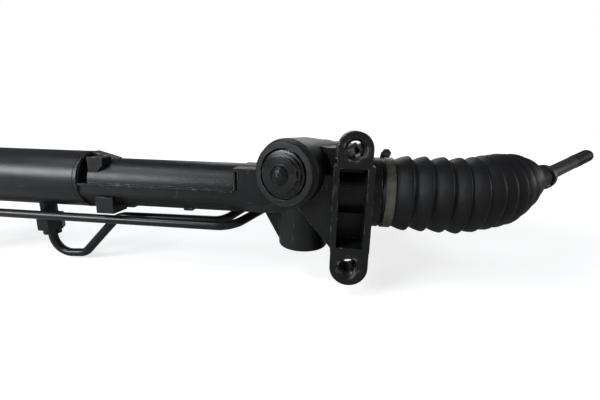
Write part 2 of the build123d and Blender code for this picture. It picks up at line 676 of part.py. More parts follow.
def end_gland():
    bush_right = GLAND_LEFT + GLAND_BUSH_LENGTH
    seal_left = GLAND_RIGHT - SEAL_LENGTH
    return turned(
        [(GLAND_BUSH_R, GLAND_LEFT), (TUBE_BORE_R, GLAND_LEFT), (TUBE_BORE_R, GLAND_RIGHT),
         (SEAL_R, GLAND_RIGHT), (SEAL_R, seal_left), (RACK_BORE_R + LOOSE, seal_left),
         (RACK_BORE_R + LOOSE, bush_right),
         (GLAND_BUSH_R, bush_right)], ALONG_RACK)


def piston_with_groove():
    left = PISTON_X - PISTON_LENGTH / 2
    right = PISTON_X + PISTON_LENGTH / 2
    groove = PISTON_RING_LENGTH / 2
    outer = TUBE_BORE_R - 2 * RUNNING
    return turned(
        [(RACK_R, left), (outer, left), (outer, PISTON_X - groove), (PISTON_GROOVE_R, PISTON_X - groove),
         (PISTON_GROOVE_R, PISTON_X + groove), (outer, PISTON_X + groove), (outer, right),
         (RACK_R, right)], ALONG_RACK)


def valve_housing():
    flange_end = BOSS_BACK + VALVE_FLANGE_THICK
    nose = TOP_SEAL_R + VALVE_RIM
    nose_start = VALVE_BORE_END + VALVE_SHOULDER + VALVE_RIM
    body = turned(
        [(0, BOSS_BACK), (VALVE_R + VALVE_RIM, BOSS_BACK), (VALVE_R + VALVE_RIM, flange_end),
         (VALVE_R, flange_end + VALVE_STEP), (VALVE_R, VALVE_BORE_END + VALVE_SHOULDER), (nose, nose_start),
         (nose, VALVE_END), (0, VALVE_END)], PINION_AXIS)
    for side in (-1, 1):
        body += flange_ear(side, BOSS_BACK, flange_end)
    for distance in (SHORT_LINE_PORT, LONG_LINE_PORT):
        body += disc(LINE_PORT_R, -LINE_PORT_REACH, 0, beside_pinion(distance, LINE_PORT_REACH, -1))
    for distance, radius in ((SUPPLY_PORT, SUPPLY_BOSS_R), (RETURN_PORT, RETURN_BOSS_R)):
        mouth = beside_pinion(distance, LINE_PORT_REACH, 1, HOSE_PORT_TILT)
        body += disc(radius, -LINE_PORT_REACH, 0, mouth)
    bearing_end = VALVE_BORE_END + TOP_BEARING_LENGTH
    body -= turned(
        [(0, BOSS_BACK - 1), (VALVE_BORE_R, BOSS_BACK - 1), (VALVE_BORE_R, VALVE_BORE_END),
         (TOP_BEARING_R, VALVE_BORE_END), (TOP_BEARING_R, bearing_end), (TOP_SEAL_R, bearing_end),
         (TOP_SEAL_R, VALVE_END + 1), (0, VALVE_END + 1)], PINION_AXIS)
    for side in (-1, 1):
        hole = Pos(side * EAR_REACH, 0, flange_end) * Cylinder(EAR_BOLT_R, 4 * VALVE_FLANGE_THICK)
        body -= PINION_AXIS.location * hole
    for distance in (SHORT_LINE_PORT, LONG_LINE_PORT):
        body -= disc(LINE_R, -LINE_PORT_REACH, 1, beside_pinion(distance, LINE_PORT_REACH, -1))
    for distance, radius in ((SUPPLY_PORT, SUPPLY_THREAD_R), (RETURN_PORT, RETURN_THREAD_R)):
        mouth = beside_pinion(distance, LINE_PORT_REACH, 1, HOSE_PORT_TILT)
        body -= disc(radius, -PORT_THREAD_LENGTH, 1, mouth)
        body -= disc(radius - VALVE_RIM, -LINE_PORT_REACH, 0, mouth)
    return body


def valve_housing_bolts():
    flange_end = BOSS_BACK + VALVE_FLANGE_THICK
    start = BOSS_BACK - BACK_FLANGE_THICK
    bolts = []
    for side in (-1, 1):
        at = Plane(origin=PINION_AXIS.origin + ACROSS * (side * EAR_REACH), x_dir=ACROSS, z_dir=INWARD)
        head = hex_prism(EAR_HEAD_AF, flange_end, flange_end + EAR_HEAD_HEIGHT, at)
        bolts.append(head + disc(EAR_BOLT_R, start, flange_end, at))
    return bolts


def input_shaft():
    shaft = turned(
        [(TORSION_HEAD_R, INPUT_START), (INPUT_R, INPUT_START), (INPUT_R, VALVE_END + 1),
         (SPLINE_R, VALVE_END + 2), (SPLINE_R, INPUT_END - 1), (SPLINE_R - 1, INPUT_END), (0, INPUT_END),
         (0, TORSION_END), (TORSION_HEAD_R, TORSION_END)], PINION_AXIS)
    width = pi * SPLINE_R / SPLINE_COUNT
    groove = Box(2 * (SPLINE_R + 1 - SPLINE_ROOT_R), width, SPLINE_LENGTH)
    groove = Pos(SPLINE_R + 1, 0, INPUT_END - SPLINE_LENGTH / 2 + 1) * groove
    turns = [Rot(0, 0, 360 * k / SPLINE_COUNT) for k in range(SPLINE_COUNT)]
    shaft -= [PINION_AXIS.location * turn * groove for turn in turns]
    return shaft - cross_pin()


def cross_pin():
    at = TORSION_END - TORSION_HEAD / 2
    pin = Rot(0, 90, 0) * Cylinder(CROSS_PIN_R, 2 * INPUT_R - 1)
    return PINION_AXIS.location * Pos(0, 0, at) * pin


def torsion_bar():
    low_head = TORSION_START + TORSION_HEAD
    high_head = TORSION_END - TORSION_HEAD
    bar = turned(
        [(0, TORSION_START), (TORSION_HEAD_R, TORSION_START), (TORSION_HEAD_R, low_head),
         (TORSION_R, low_head + 2), (TORSION_R, high_head - 2), (TORSION_HEAD_R, high_head),
         (TORSION_HEAD_R, TORSION_END),
         (0, TORSION_END)], PINION_AXIS)
    return bar - cross_pin()


def sleeve_positions():
    spacing = SLEEVE_LENGTH / SLEEVE_RING_COUNT
    return [SLEEVE_START + spacing * (k + 0.5) for k in range(SLEEVE_RING_COUNT)]


def valve_sleeve():
    end = SLEEVE_START + SLEEVE_LENGTH
    body = ring(VALVE_BORE_R - RUNNING, INPUT_R + RUNNING, SLEEVE_START, end, PINION_AXIS)
    half = SLEEVE_RING_WIDTH / 2
    for s in sleeve_positions():
        body -= ring(VALVE_BORE_R + 1, SLEEVE_RING_R, s - half, s + half, PINION_AXIS)
    return body


def sleeve_rings():
    half = SLEEVE_RING_WIDTH / 2
    outer = VALVE_BORE_R - RUNNING
    return [ring(outer, SLEEVE_RING_R, s - half, s + half, PINION_AXIS) for s in sleeve_positions()]


def bearing_balls():
    centre = BEARING_FRONT + BEARING_WIDTH / 2
    ball = Pos(BALL_PITCH_R, 0, centre) * Sphere(BALL_R)
    return [PINION_AXIS.location * Rot(0, 0, 360 * k / BALL_COUNT) * ball for k in range(BALL_COUNT)]


def pinion_nut():
    start = BEARING_FRONT - PINION_NUT_LENGTH
    nut = hex_prism(PINION_NUT_AF, start, BEARING_FRONT, PINION_AXIS)
    return nut - disc(PINION_THREAD_R, start - 1, BEARING_FRONT + 1, PINION_AXIS)


def pinion_end_cap():
    skirt = BOSS_FRONT + CAP_SKIRT_START
    end = BOSS_FRONT + CAP_SKIRT
    dome = BOSS_FRONT - CAP_DOME_RISE
    disc_face = BOSS_FRONT - CAP_DISC_RISE
    step_face = BOSS_FRONT - CAP_STEP_RISE
    rim_face = BOSS_FRONT - CAP_RIM_RISE
    profile = [
        (0, dome), *[(CAP_DOME_R * share, dome + drop) for share, drop in DOME_SHAPE],
        (CAP_DOME_R, disc_face), (CAP_DISC_R, disc_face + CAP_EDGE), (CAP_DISC_R, step_face),
        (CAP_STEP_R, step_face + CAP_EDGE / 2),
        (CAP_STEP_R, rim_face), (CAP_RIM_R, rim_face + CAP_EDGE / 2), (CAP_RIM_R, skirt), (CAP_BORE_R, skirt),
        (CAP_BORE_R, end), (CAP_BORE_R - CAP_WALL, end), (CAP_RIM_R - CAP_WALL, skirt),
        (CAP_STEP_R - CAP_WALL, skirt - 1), (CAP_DISC_R - CAP_WALL, step_face + CAP_WALL),
        (0, step_face + CAP_WALL),
    ]
    return turned(profile, PINION_AXIS)


def yoke():
    body = Pos(0, 0, YOKE_TOP) * disc(YOKE_R, 0, YOKE_HEIGHT, DOWN)
    body -= disc(RACK_BORE_R + YOKE_PAD_THICK, -2 * YOKE_R, 2 * YOKE_R, ALONG_RACK)
    low = YOKE_TOP - YOKE_HEIGHT
    return body - Pos(0, 0, low) * disc(SPRING_R + SPRING_WIRE_R + SPRING_POCKET_GAP, -SPRING_POCKET, 1, DOWN)


def yoke_pad():
    reach = YOKE_R * PAD_SHARE
    pad = ring(RACK_BORE_R + YOKE_PAD_THICK, RACK_BORE_R, -reach, reach, ALONG_RACK)
    across = sqrt(YOKE_R ** 2 - reach ** 2)
    return pad & block(-reach, reach, -across, across, -2 * RACK_R, YOKE_TOP)


def yoke_spring():
    top = YOKE_TOP - YOKE_HEIGHT + SPRING_POCKET - SPRING_WIRE_R
    bottom = -YOKE_PLUG_TOP + SPRING_WIRE_R
    pitch = (top - bottom) / SPRING_TURNS
    path = Pos(0, 0, bottom) * Helix(pitch=pitch, height=top - bottom, radius=SPRING_R)
    start = Plane(origin=path @ 0, z_dir=path % 0)
    return sweep(start * Circle(SPRING_WIRE_R), path=path, is_frenet=True)


def yoke_plug():
    end = YOKE_PLUG_TOP + YOKE_PLUG_THICK
    plug = disc(YOKE_PLUG_R, YOKE_PLUG_TOP, end, DOWN)
    return plug - hex_prism(PLUG_HEX_AF, YOKE_PLUG_TOP + PLUG_HEX_FLOOR, end + 1, DOWN)


def yoke_lock_nut():
    start = YOKE_PLUG_TOP + YOKE_PLUG_THICK
    end = start + LOCK_NUT_THICK - LOCK_NUT_INSET
    nut = ring(YOKE_PLUG_R, LOCK_NUT_BORE_R, start, end, DOWN)
    notch = Pos(YOKE_PLUG_R, 0, end) * Box(LOCK_NUT_NOTCH, LOCK_NUT_NOTCH, LOCK_NUT_THICK)
    return nut - [DOWN.location * Rot(0, 0, 90 * k) * notch for k in range(4)]


def rod_direction(side, sweep_angle, rise):
    flat = cos(radians(rise))
    turn = radians(sweep_angle)
    return Vector(side * flat * cos(turn), flat * sin(turn), sin(radians(rise)))


def ball_socket(ball_x, side):
    """The socket that screws into the rack end; side is 1 on the right and -1 on the left."""
    at = Plane(origin=(ball_x, 0, 0), x_dir=(0, 1, 0), z_dir=(side, 0, 0))
    inner = JOINT_BALL_R + SEAT_THICK
    body = turned(
        [(0, -SOCKET_BACK), (SOCKET_R - 1, -SOCKET_BACK), (SOCKET_R, -SOCKET_BACK + 1),
         (SOCKET_R, SOCKET_LIP_START), (SOCKET_R - SOCKET_LIP, SOCKET_FRONT), (0, SOCKET_FRONT)], at)
    around = Box(3 * SOCKET_R, 3 * SOCKET_R, SOCKET_FLAT_LENGTH)
    flats = around - Box(3 * SOCKET_R, SOCKET_FLAT_AF, SOCKET_FLAT_LENGTH)
    body -= at.location * Pos(0, 0, -SOCKET_BACK + SOCKET_FLAT_LENGTH / 2) * flats
    stud_end = -SOCKET_BACK - WASHER_THICK - SOCKET_STUD_LENGTH + 1
    body += disc(SOCKET_STUD_R, stud_end, -SOCKET_BACK + 1, at)
    return body - at.location * Sphere(inner)


def ball_seat(ball_x, side):
    at = Plane(origin=(ball_x, 0, 0), x_dir=(0, 1, 0), z_dir=(side, 0, 0))
    lip = (JOINT_BALL_R + SEAT_THICK) * cos(radians(SEAT_LIP_ANGLE))
    shell = Sphere(JOINT_BALL_R + SEAT_THICK - RUNNING) - Sphere(JOINT_BALL_R + RUNNING)
    shell -= Pos(0, 0, lip + 2 * JOINT_BALL_R) * Box(4 * JOINT_BALL_R, 4 * JOINT_BALL_R, 4 * JOINT_BALL_R)
    return at.location * shell


def tie_rod(ball_x, side, sweep_angle, rise):
    direction = rod_direction(side, sweep_angle, rise)
    at = Plane(origin=(ball_x, 0, 0), z_dir=direction)
    thread = ROD_LENGTH - ROD_THREAD_LENGTH
    rod = turned(
        [(0, 0), (ROD_NECK_R, 0), (ROD_NECK_R, ROD_NECK_LENGTH), (ROD_R, ROD_NECK_LENGTH + ROD_SHOULDER),
         (ROD_R, thread - 1), (ROD_THREAD_R, thread), (ROD_THREAD_R, ROD_LENGTH - ROD_TIP_LENGTH),
         (ROD_THREAD_R - ROD_TIP_DROP / 2, ROD_LENGTH - ROD_TIP_LENGTH / 4),
         (ROD_THREAD_R - ROD_TIP_DROP, ROD_LENGTH), (0, ROD_LENGTH)], at)
    return rod + Pos(ball_x, 0, 0) * Sphere(JOINT_BALL_R)


def boot_path(seat_end, ball_x, sweep_angle, rise):
    """The boot's centre line: along the rack, round the joint and out along the tie rod."""
    direction = rod_direction(1, sweep_angle, rise)
    ball = Vector(ball_x, 0, 0)
    start = Vector(seat_end, 0, 0)
    turn_in = ball - Vector(BEND_TANGENT, 0, 0)
    turn_out = ball + direction * BEND_TANGENT
    first = Line(start, turn_in)
    bend = TangentArc(turn_in, turn_out, tangent=(1, 0, 0))
    last = Line(turn_out, ball + direction * BOOT_REACH)
    return Wire([first, bend, last])


def tube_along(path, radius):
    section = Plane(origin=path @ 0, z_dir=path % 0) * Circle(radius)
    return sweep(section, path=path)


def convolution(path, distance, base_r, crest_r, base, crest):
    centre = path.position_at(distance, PositionMode.LENGTH)
    at = Plane(origin=centre, z_dir=path.tangent_at(distance, PositionMode.LENGTH))
    root_r = base_r - CONVOLUTION_ROOT
    root = base / 2 + CONVOLUTION_ROOT * (base - crest) / 2 / (crest_r - base_r)
    return turned(
        [(0, -root), (root_r, -root), (crest_r, -crest / 2), (crest_r, crest / 2), (root_r, root), (0, root)], at)


def bellows(path, core_r, crest_offset, base, crest):
    """The pieces of the boot's outer or inner form: a core and a ring at each convolution."""
    pieces = [tube_along(path, core_r)]
    pitch = path.length / CONVOLUTIONS
    for n in range(CONVOLUTIONS):
        shrink = TAPER_STEP * max(0, n + 1 - (CONVOLUTIONS - TAPERED_CONVOLUTIONS))
        crest_r = CREST_R - crest_offset - shrink
        pieces.append(convolution(path, pitch * (n + 0.5), core_r, crest_r, base, crest))
    return pieces


def boot(seat_end, ball_x, side, sweep_angle, rise):
    if side < 0:
        return Rot(0, 0, 180) * boot(-seat_end, -ball_x, 1, -sweep_angle, rise)
    path = boot_path(seat_end, ball_x, sweep_angle, rise)
    start = Plane(origin=(seat_end, 0, 0), x_dir=(0, 1, 0), z_dir=(1, 0, 0))
    end = Plane(origin=path @ 1, z_dir=rod_direction(1, sweep_angle, rise))
    cuff_start = CUFF_GAP - CUFF_LENGTH
    cuff_end = END_CONE_LENGTH + END_CUFF_LENGTH
    core_bore = BELLOWS_CORE_R - BOOT_WALL
    cuff_bore = ROD_R + LOOSE
    outer = bellows(path, BELLOWS_CORE_R, 0, CONVOLUTION_BASE, CREST_WIDTH)
    outer.append(turned(
        [(0, cuff_start), (CUFF_R, cuff_start), (CUFF_R, 1), (BELLOWS_CORE_R - 1, 2), (0, 2)], start))
    outer.append(turned(
        [(0, -CONE_LEAD), (BELLOWS_CORE_R - 1, -CONE_LEAD), (BELLOWS_CORE_R - CONE_STEP, CONE_MOUTH),
         (END_CUFF_R, END_CONE_LENGTH), (END_CUFF_R, cuff_end), (0, cuff_end)], end))
    inner = bellows(path, core_bore, BOOT_WALL, CONVOLUTION_BASE - 2, CREST_WIDTH - INNER_CREST_STEP)
    inner.append(disc(BOOT_SEAT_R, cuff_start - 1, CUFF_GAP, start))
    inner.append(turned(
        [(0, -CONE_LEAD), (core_bore - 1, -CONE_LEAD), (core_bore - CONE_STEP, CONE_MOUTH),
         (cuff_bore, END_CONE_LENGTH - 1), (cuff_bore, cuff_end + 1), (0, cuff_end + 1)], end))
    wall = outer[0] + outer[1:]
    for piece in inner:
        wall -= piece
    return wall


def boot_band(seat_end, side):
    start = seat_end - side * (CUFF_LENGTH - CUFF_GAP - BAND_INSET)
    at = Plane(origin=(start, 0, 0), x_dir=(0, 1, 0), z_dir=(side, 0, 0))
    band = ring(CUFF_R + BAND_THICK, CUFF_R, 0, BAND_WIDTH, at)
    place = screw_place(start, side)
    band += place * Box(BAND_LUG_LENGTH, BAND_WIDTH, 2 * (BAND_SCREW_R + BAND_LUG_EDGE))
    band -= disc(CUFF_R, -1, BAND_WIDTH + 1, at)
    return band - place * Rot(0, 90, 0) * Cylinder(BAND_SCREW_R, 3 * BAND_LUG_LENGTH)


def screw_place(start, side):
    """The clamp screw's frame: its X is tangent to the band and its Z is radial."""
    angle = radians(BAND_SCREW_ANGLE)
    radial = Vector(0, sin(angle), cos(angle))
    centre = radial * (CUFF_R + BAND_THICK + BAND_SCREW_R) + Vector(start + side * BAND_WIDTH / 2, 0, 0)
    return Plane(origin=centre, x_dir=(0, cos(angle), -sin(angle)), z_dir=radial).location


def band_screw(seat_end, side):
    start = seat_end - side * (CUFF_LENGTH - CUFF_GAP - BAND_INSET)
    shank = Rot(0, 90, 0) * Cylinder(BAND_SCREW_R, BAND_SCREW_LENGTH)
    end = -BAND_SCREW_LENGTH / 2
    head = hex_prism(BAND_HEAD_AF, end - BAND_HEAD_LENGTH, end, Plane.YZ)
    return screw_place(start, side) * (shank + head)


def boot_clip(ball_x, side, sweep_angle, rise):
    direction = rod_direction(side, sweep_angle, rise)
    start = BOOT_REACH + END_CONE_LENGTH + END_CUFF_LENGTH * CLIP_SHARE
    at = Plane(origin=Vector(ball_x, 0, 0) + direction * start, z_dir=direction)
    inner = END_CUFF_R + LOOSE
    return ring(inner + 2 * CLIP_WIRE_R, inner, 0, END_CUFF_LENGTH * CLIP_SHARE, at)


def lock_washers():
    right = ring(WASHER_R, SOCKET_STUD_R, RACK_RIGHT, RACK_RIGHT + WASHER_THICK, ALONG_RACK)
    left = ring(WASHER_R, SOCKET_STUD_R, RACK_LEFT - WASHER_THICK, RACK_LEFT, ALONG_RACK)
    return [left, right]


def mount_bush():
    left = MOUNT_X - BUSH_WIDTH / 2
    right = MOUNT_X + BUSH_WIDTH / 2
    body = disc(BUSH_OUTER_R, left, right, ALONG_RACK)
    body += block(left, right, BRACKET_FACE_Y, 0, -BUSH_OUTER_R, BUSH_OUTER_R)
    return body - disc(TUBE_R, left - 1, right + 1, ALONG_RACK)


def mount_saddle():
    left = MOUNT_X - SADDLE_WIDTH / 2
    right = MOUNT_X + SADDLE_WIDTH / 2
    outer = BUSH_OUTER_R + SADDLE_THICK
    body = disc(outer, left, right, ALONG_RACK)
    body += block(left, right, BRACKET_FACE_Y, 0, -outer, outer)
    body += block(left, right, BRACKET_FACE_Y, BRACKET_FACE_Y + SADDLE_THICK, -SADDLE_EAR_TOP, SADDLE_EAR_TOP)
    body -= disc(BUSH_OUTER_R, left - 1, right + 1, ALONG_RACK)
    body -= block(left - 1, right + 1, BRACKET_FACE_Y - 1, 0, -BUSH_OUTER_R, BUSH_OUTER_R)
    corners = body.edges().filter_by(Axis.Y).filter_by(lambda e: abs(e.center().Z) > SADDLE_EAR_TOP - 1)
    body = fillet(corners, SADDLE_CORNER_R)
    for z in (-SADDLE_HOLE_Z, SADDLE_HOLE_Z):
        body -= Pos(MOUNT_X, BRACKET_FACE_Y, z) * Rot(90, 0, 0) * Cylinder(SADDLE_HOLE_R, 4 * SADDLE_THICK)
    return body


def port_bosses():
    bosses = []
    for x in (LEFT_PORT_X, RIGHT_PORT_X):
        boss = ring(PORT_BOSS_R, PORT_BORE_R, TUBE_BORE_R, TUBE_R + PORT_BOSS_DROP, DOWN)
        bosses.append(Pos(x, 0, 0) * boss - disc(TUBE_R, x - TUBE_R, x + TUBE_R, ALONG_RACK))
    return bosses


def flare_nut(plane):
    nut = hex_prism(NUT_AF, 0, NUT_LENGTH, plane)
    nut += disc(NUT_COLLAR_R, NUT_LENGTH, NUT_LENGTH + NUT_COLLAR_LENGTH, plane)
    return nut - disc(LINE_R, -1, NUT_LENGTH + NUT_COLLAR_LENGTH + 1, plane)


def line_ends(port_x, port_distance):
    """The planes where a line leaves its tube boss and its valve port."""
    tube_end = Plane(origin=(port_x, 0, -TUBE_R - PORT_BOSS_DROP), x_dir=(1, 0, 0), z_dir=(0, 0, -1))
    return tube_end, beside_pinion(port_distance, LINE_PORT_REACH, -1)


def line_nuts():
    ends = [*line_ends(LEFT_PORT_X, LONG_LINE_PORT), *line_ends(RIGHT_PORT_X, SHORT_LINE_PORT)]
    return [flare_nut(end) for end in ends]


def pipe(points, radii):
    path = FilletPolyline(*points, radius=radii)
    start = Plane(origin=path @ 0, z_dir=path % 0)
    return sweep(start * Circle(LINE_R), path=path) - sweep(start * Circle(LINE_BORE_R), path=path)


def short_line():
    tube_end, valve_end = line_ends(RIGHT_PORT_X, SHORT_LINE_PORT)
    start = tube_end.origin
    finish = valve_end.origin
    out = finish + valve_end.z_dir * (NUT_LENGTH + NUT_COLLAR_LENGTH + LINE_LEAD)
    return pipe([start, *SHORT_LINE_POINTS, out, finish], SHORT_LINE_RADII)


def long_line():
    tube_end, valve_end = line_ends(LEFT_PORT_X, LONG_LINE_PORT)
    start = tube_end.origin
    finish = valve_end.origin
    out = finish + valve_end.z_dir * (NUT_LENGTH + NUT_COLLAR_LENGTH + LINE_LEAD)
    return pipe([start, *LONG_LINE_POINTS, out, finish], LONG_LINE_RADII)


RIGHT = (RIGHT_BALL_X, 1, RIGHT_SWEEP, RIGHT_RISE)
LEFT = (LEFT_BALL_X, -1, LEFT_SWEEP, LEFT_RISE)

NODES = {
    "pinion_housing": pinion_housing,
    "cylinder_tube": cylinder_tube,
    "end_gland": end_gland,
    "inner_rack_seal": lambda: collar(SEAL_R, RACK_BORE_R, SPIGOT_LEFT, SEAL_LENGTH, ALONG_RACK),
    "outer_rack_seal": lambda: collar(SEAL_R, RACK_BORE_R, GLAND_RIGHT - SEAL_LENGTH, SEAL_LENGTH,
                                      ALONG_RACK),
    "rack_bushing": lambda: collar(RACK_BUSH_R, RACK_BORE_R, RIGHT_BUSH_LEFT, RACK_BUSH_LENGTH, ALONG_RACK),
    "gland_bushing": lambda: collar(GLAND_BUSH_R, RACK_BORE_R, GLAND_LEFT, GLAND_BUSH_LENGTH, ALONG_RACK),
    "gland_snap_ring": lambda: collar(SNAP_RING_OUT_R, SNAP_RING_IN_R, SNAP_RING_LEFT, SNAP_RING_THICK,
                                      ALONG_RACK),
    "valve_housing": valve_housing,
    "valve_housing_bolts": valve_housing_bolts,
    "lower_bearing_outer_race": lambda: collar(BEARING_OUTER_R, BEARING_RACE_IN_R, BEARING_FRONT,
                                               BEARING_WIDTH, PINION_AXIS),
    "lower_bearing_balls": bearing_balls,
    "lower_bearing_inner_race": lambda: collar(BEARING_RACE_OUT_R, BEARING_BORE_R, BEARING_FRONT,
                                               BEARING_WIDTH, PINION_AXIS),
    "upper_pinion_bush": lambda: collar(BUSH_R, JOURNAL_R + RUNNING, BUSH_START, BUSH_LENGTH, PINION_AXIS),
    "lower_valve_seal": lambda: collar(VALVE_SEAL_R, JOURNAL_R + RUNNING, VALVE_SEAL_START, VALVE_SEAL_LENGTH,
                                       PINION_AXIS),
    "input_shaft_bearing": lambda: collar(TOP_BEARING_R, INPUT_R + RUNNING, VALVE_BORE_END,
                                          TOP_BEARING_LENGTH, PINION_AXIS),
    "input_shaft_seal": lambda: collar(TOP_SEAL_R, INPUT_R + RUNNING, VALVE_END - TOP_SEAL_LENGTH - 1,
                                       TOP_SEAL_LENGTH, PINION_AXIS),
    "pinion_end_cap": pinion_end_cap,
    "yoke": yoke,
    "yoke_pad": yoke_pad,
    "yoke_spring": yoke_spring,
    "yoke_plug": yoke_plug,
    "yoke_lock_nut": yoke_lock_nut,
    "mount_bush": mount_bush,
    "mount_saddle": mount_saddle,
    "port_bosses": port_bosses,
    "line_nuts": line_nuts,
    "short_line": short_line,
    "long_line": long_line,
    "boot_right": lambda: boot(HOUSING_RIGHT, *RIGHT),
    "boot_left": lambda: boot(TUBE_LEFT, *LEFT),
    "boot_band_right": lambda: boot_band(HOUSING_RIGHT, 1),
    "boot_band_left": lambda: boot_band(TUBE_LEFT, -1),
    "band_screw_right": lambda: band_screw(HOUSING_RIGHT, 1),
    "band_screw_left": lambda: band_screw(TUBE_LEFT, -1),
    "boot_clip_right": lambda: boot_clip(*RIGHT),
    "boot_clip_left": lambda: boot_clip(*LEFT),
    "rack_bar": rack_bar,
    "piston": piston_with_groove,
    "piston_ring": lambda: collar(TUBE_BORE_R - RUNNING, PISTON_GROOVE_R, PISTON_X - PISTON_RING_LENGTH / 2,
                                  PISTON_RING_LENGTH, ALONG_RACK),
    "ball_socket_right": lambda: ball_socket(RIGHT_BALL_X, 1),
    "ball_socket_left": lambda: ball_socket(LEFT_BALL_X, -1),
    "lock_washers": lock_washers,
    "pinion_shaft": pinion_shaft,
    "pinion_nut": pinion_nut,
    "valve_sleeve": valve_sleeve,
    "sleeve_rings": sleeve_rings,
    "input_shaft": input_shaft,
    "torsion_bar": torsion_bar,
    "input_cross_pin": cross_pin,
    "ball_seat_right": lambda: ball_seat(RIGHT_BALL_X, 1),
    "ball_seat_left": lambda: ball_seat(LEFT_BALL_X, -1),
    "tie_rod_right": lambda: tie_rod(*RIGHT),
    "tie_rod_left": lambda: tie_rod(*LEFT),
}

TO_ORIGIN = Pos(*[-value for value in ORIGIN])

for name, make in NODES.items():
    solids = make()
    if isinstance(solids, (list, tuple)):
        solids = Compound(list(solids))
    export_step(TO_ORIGIN * solids, f"parts/{name}.step")
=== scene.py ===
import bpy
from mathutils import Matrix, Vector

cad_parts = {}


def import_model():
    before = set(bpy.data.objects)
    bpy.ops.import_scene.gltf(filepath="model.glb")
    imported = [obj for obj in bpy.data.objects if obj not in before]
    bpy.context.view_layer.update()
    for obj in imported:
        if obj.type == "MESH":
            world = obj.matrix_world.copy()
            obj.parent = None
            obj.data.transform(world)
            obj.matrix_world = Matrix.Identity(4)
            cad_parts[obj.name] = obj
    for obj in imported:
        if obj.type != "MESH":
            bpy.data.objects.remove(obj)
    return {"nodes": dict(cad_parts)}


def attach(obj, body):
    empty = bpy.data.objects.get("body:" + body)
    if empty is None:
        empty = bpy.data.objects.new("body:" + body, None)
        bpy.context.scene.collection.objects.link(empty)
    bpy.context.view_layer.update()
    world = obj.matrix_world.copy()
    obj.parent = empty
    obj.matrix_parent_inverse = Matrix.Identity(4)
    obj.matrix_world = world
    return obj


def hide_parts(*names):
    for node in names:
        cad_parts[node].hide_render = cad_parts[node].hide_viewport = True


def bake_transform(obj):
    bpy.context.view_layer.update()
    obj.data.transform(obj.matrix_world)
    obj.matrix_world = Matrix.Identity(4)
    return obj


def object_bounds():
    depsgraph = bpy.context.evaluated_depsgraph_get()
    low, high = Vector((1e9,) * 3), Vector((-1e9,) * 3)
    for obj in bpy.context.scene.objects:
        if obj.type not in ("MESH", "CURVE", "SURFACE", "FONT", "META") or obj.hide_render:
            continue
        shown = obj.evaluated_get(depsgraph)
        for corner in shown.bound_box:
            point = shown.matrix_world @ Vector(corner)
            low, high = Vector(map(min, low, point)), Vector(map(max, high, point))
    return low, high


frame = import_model()
cad_box = [list(corner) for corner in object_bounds()]

import math

import bmesh
import bpy
from mathutils import Matrix, Vector, noise

NODES = frame["nodes"]

# Sizes below are in millimetres in the part's own drawing, whose x axis is the rack's line.
# The camera, the lamps and the materials are in metres.
SHIFT = Vector((-40.5, 34.6, 9.0))
X = Vector((1, 0, 0))
Z = Vector((0, 0, 1))

# Rack's line: the boots' seats, the inner ball joints and the tie rods' sweep and rise in degrees
HOUSING_RIGHT = 73.0
TUBE_LEFT = -435.0
RIGHT_BALL_X = 163.0
LEFT_BALL_X = -525.0
RIGHT_ROD = (40.0, 8.6)
LEFT_ROD = (14.0, -6.0)

# Boots: distances run along the boot's middle line from its seat
BEND_TANGENT = 30.0
LIFTS = ((58, 0), (75, 3.0), (90, 4.7), (105, 8.0), (118, 8.6), (135, 4.0), (150, 0.4), (160, 0))
RIGHT_LIFT = 1.0
LEFT_LIFT = -0.35
CRESTS = (13.0, 26.5, 42.0, 55.5, 66.6, 75.0, 82.5, 89.5, 97.0, 104.5, 115.0, 127.0)
ENVELOPE = ((0, 31.8), (55, 31.9), (75, 31.0), (90, 30.0), (105, 25.2), (120, 19.2), (135, 14.6),
            (150, 11.4), (162, 9.8))
FIRST_VALLEY = 2.4
LAST_VALLEY = 136.0
LAST_VALLEY_DIP = 1.8
VALLEY_SHARE = 0.32
FOLD_DEPTH = 3.3
FOLD_DEPTH_SHARE = 0.27
# (share of the way between two valleys, share of the fold's depth)
FOLD = ((0.0, 0.0), (0.06, 0.06), (0.16, 0.26), (0.34, 0.6), (0.52, 0.84), (0.62, 0.94),
        (0.69, 1.0), (0.74, 0.97), (0.79, 0.82), (0.86, 0.42), (0.92, 0.14), (0.97, 0.02))
CUFF_R = 28.7
CUFF_START = -9.5
END_CUFF_R = 9.6
# (distance, radius) points of the cuff on the housing and of the cuff on the tie rod
CUFF = ((CUFF_START, CUFF_R - 0.6), (CUFF_START + 0.5, CUFF_R), (-0.6, CUFF_R),
        (0.6, CUFF_R - 0.2), (1.4, CUFF_R - 0.6))
END_CUFF = ((139, 12.9), (143, 11.6), (148, 10.4), (152, END_CUFF_R), (170.0, END_CUFF_R),
            (170.8, END_CUFF_R - 0.5))
BOOT_WALL = 1.3
BOOT_BORE_R = 7.2
BOOT_POINTS = 72
# Valleys where one skin ends and the next begins, and margins kept from them
FIRST_CUT = 6
SECOND_CUT = 9
FIRST_BEND_MARGIN = 3
BEND_MARGIN = 2
PAST_LAST_VALLEY = 6
BEYOND = 1e3
SAME_PLACE = 0.01
# (size, scale) of the two waves that keep moulded rubber from being quite round
WOBBLES = ((0.22, 0.035), (0.08, 0.15))

# Threads: flat crest and root, and sloping flank, as shares of one turn
THREAD_FLAT = 0.12
THREAD_FLANK = 0.38
RINGS_PER_TURN = 6

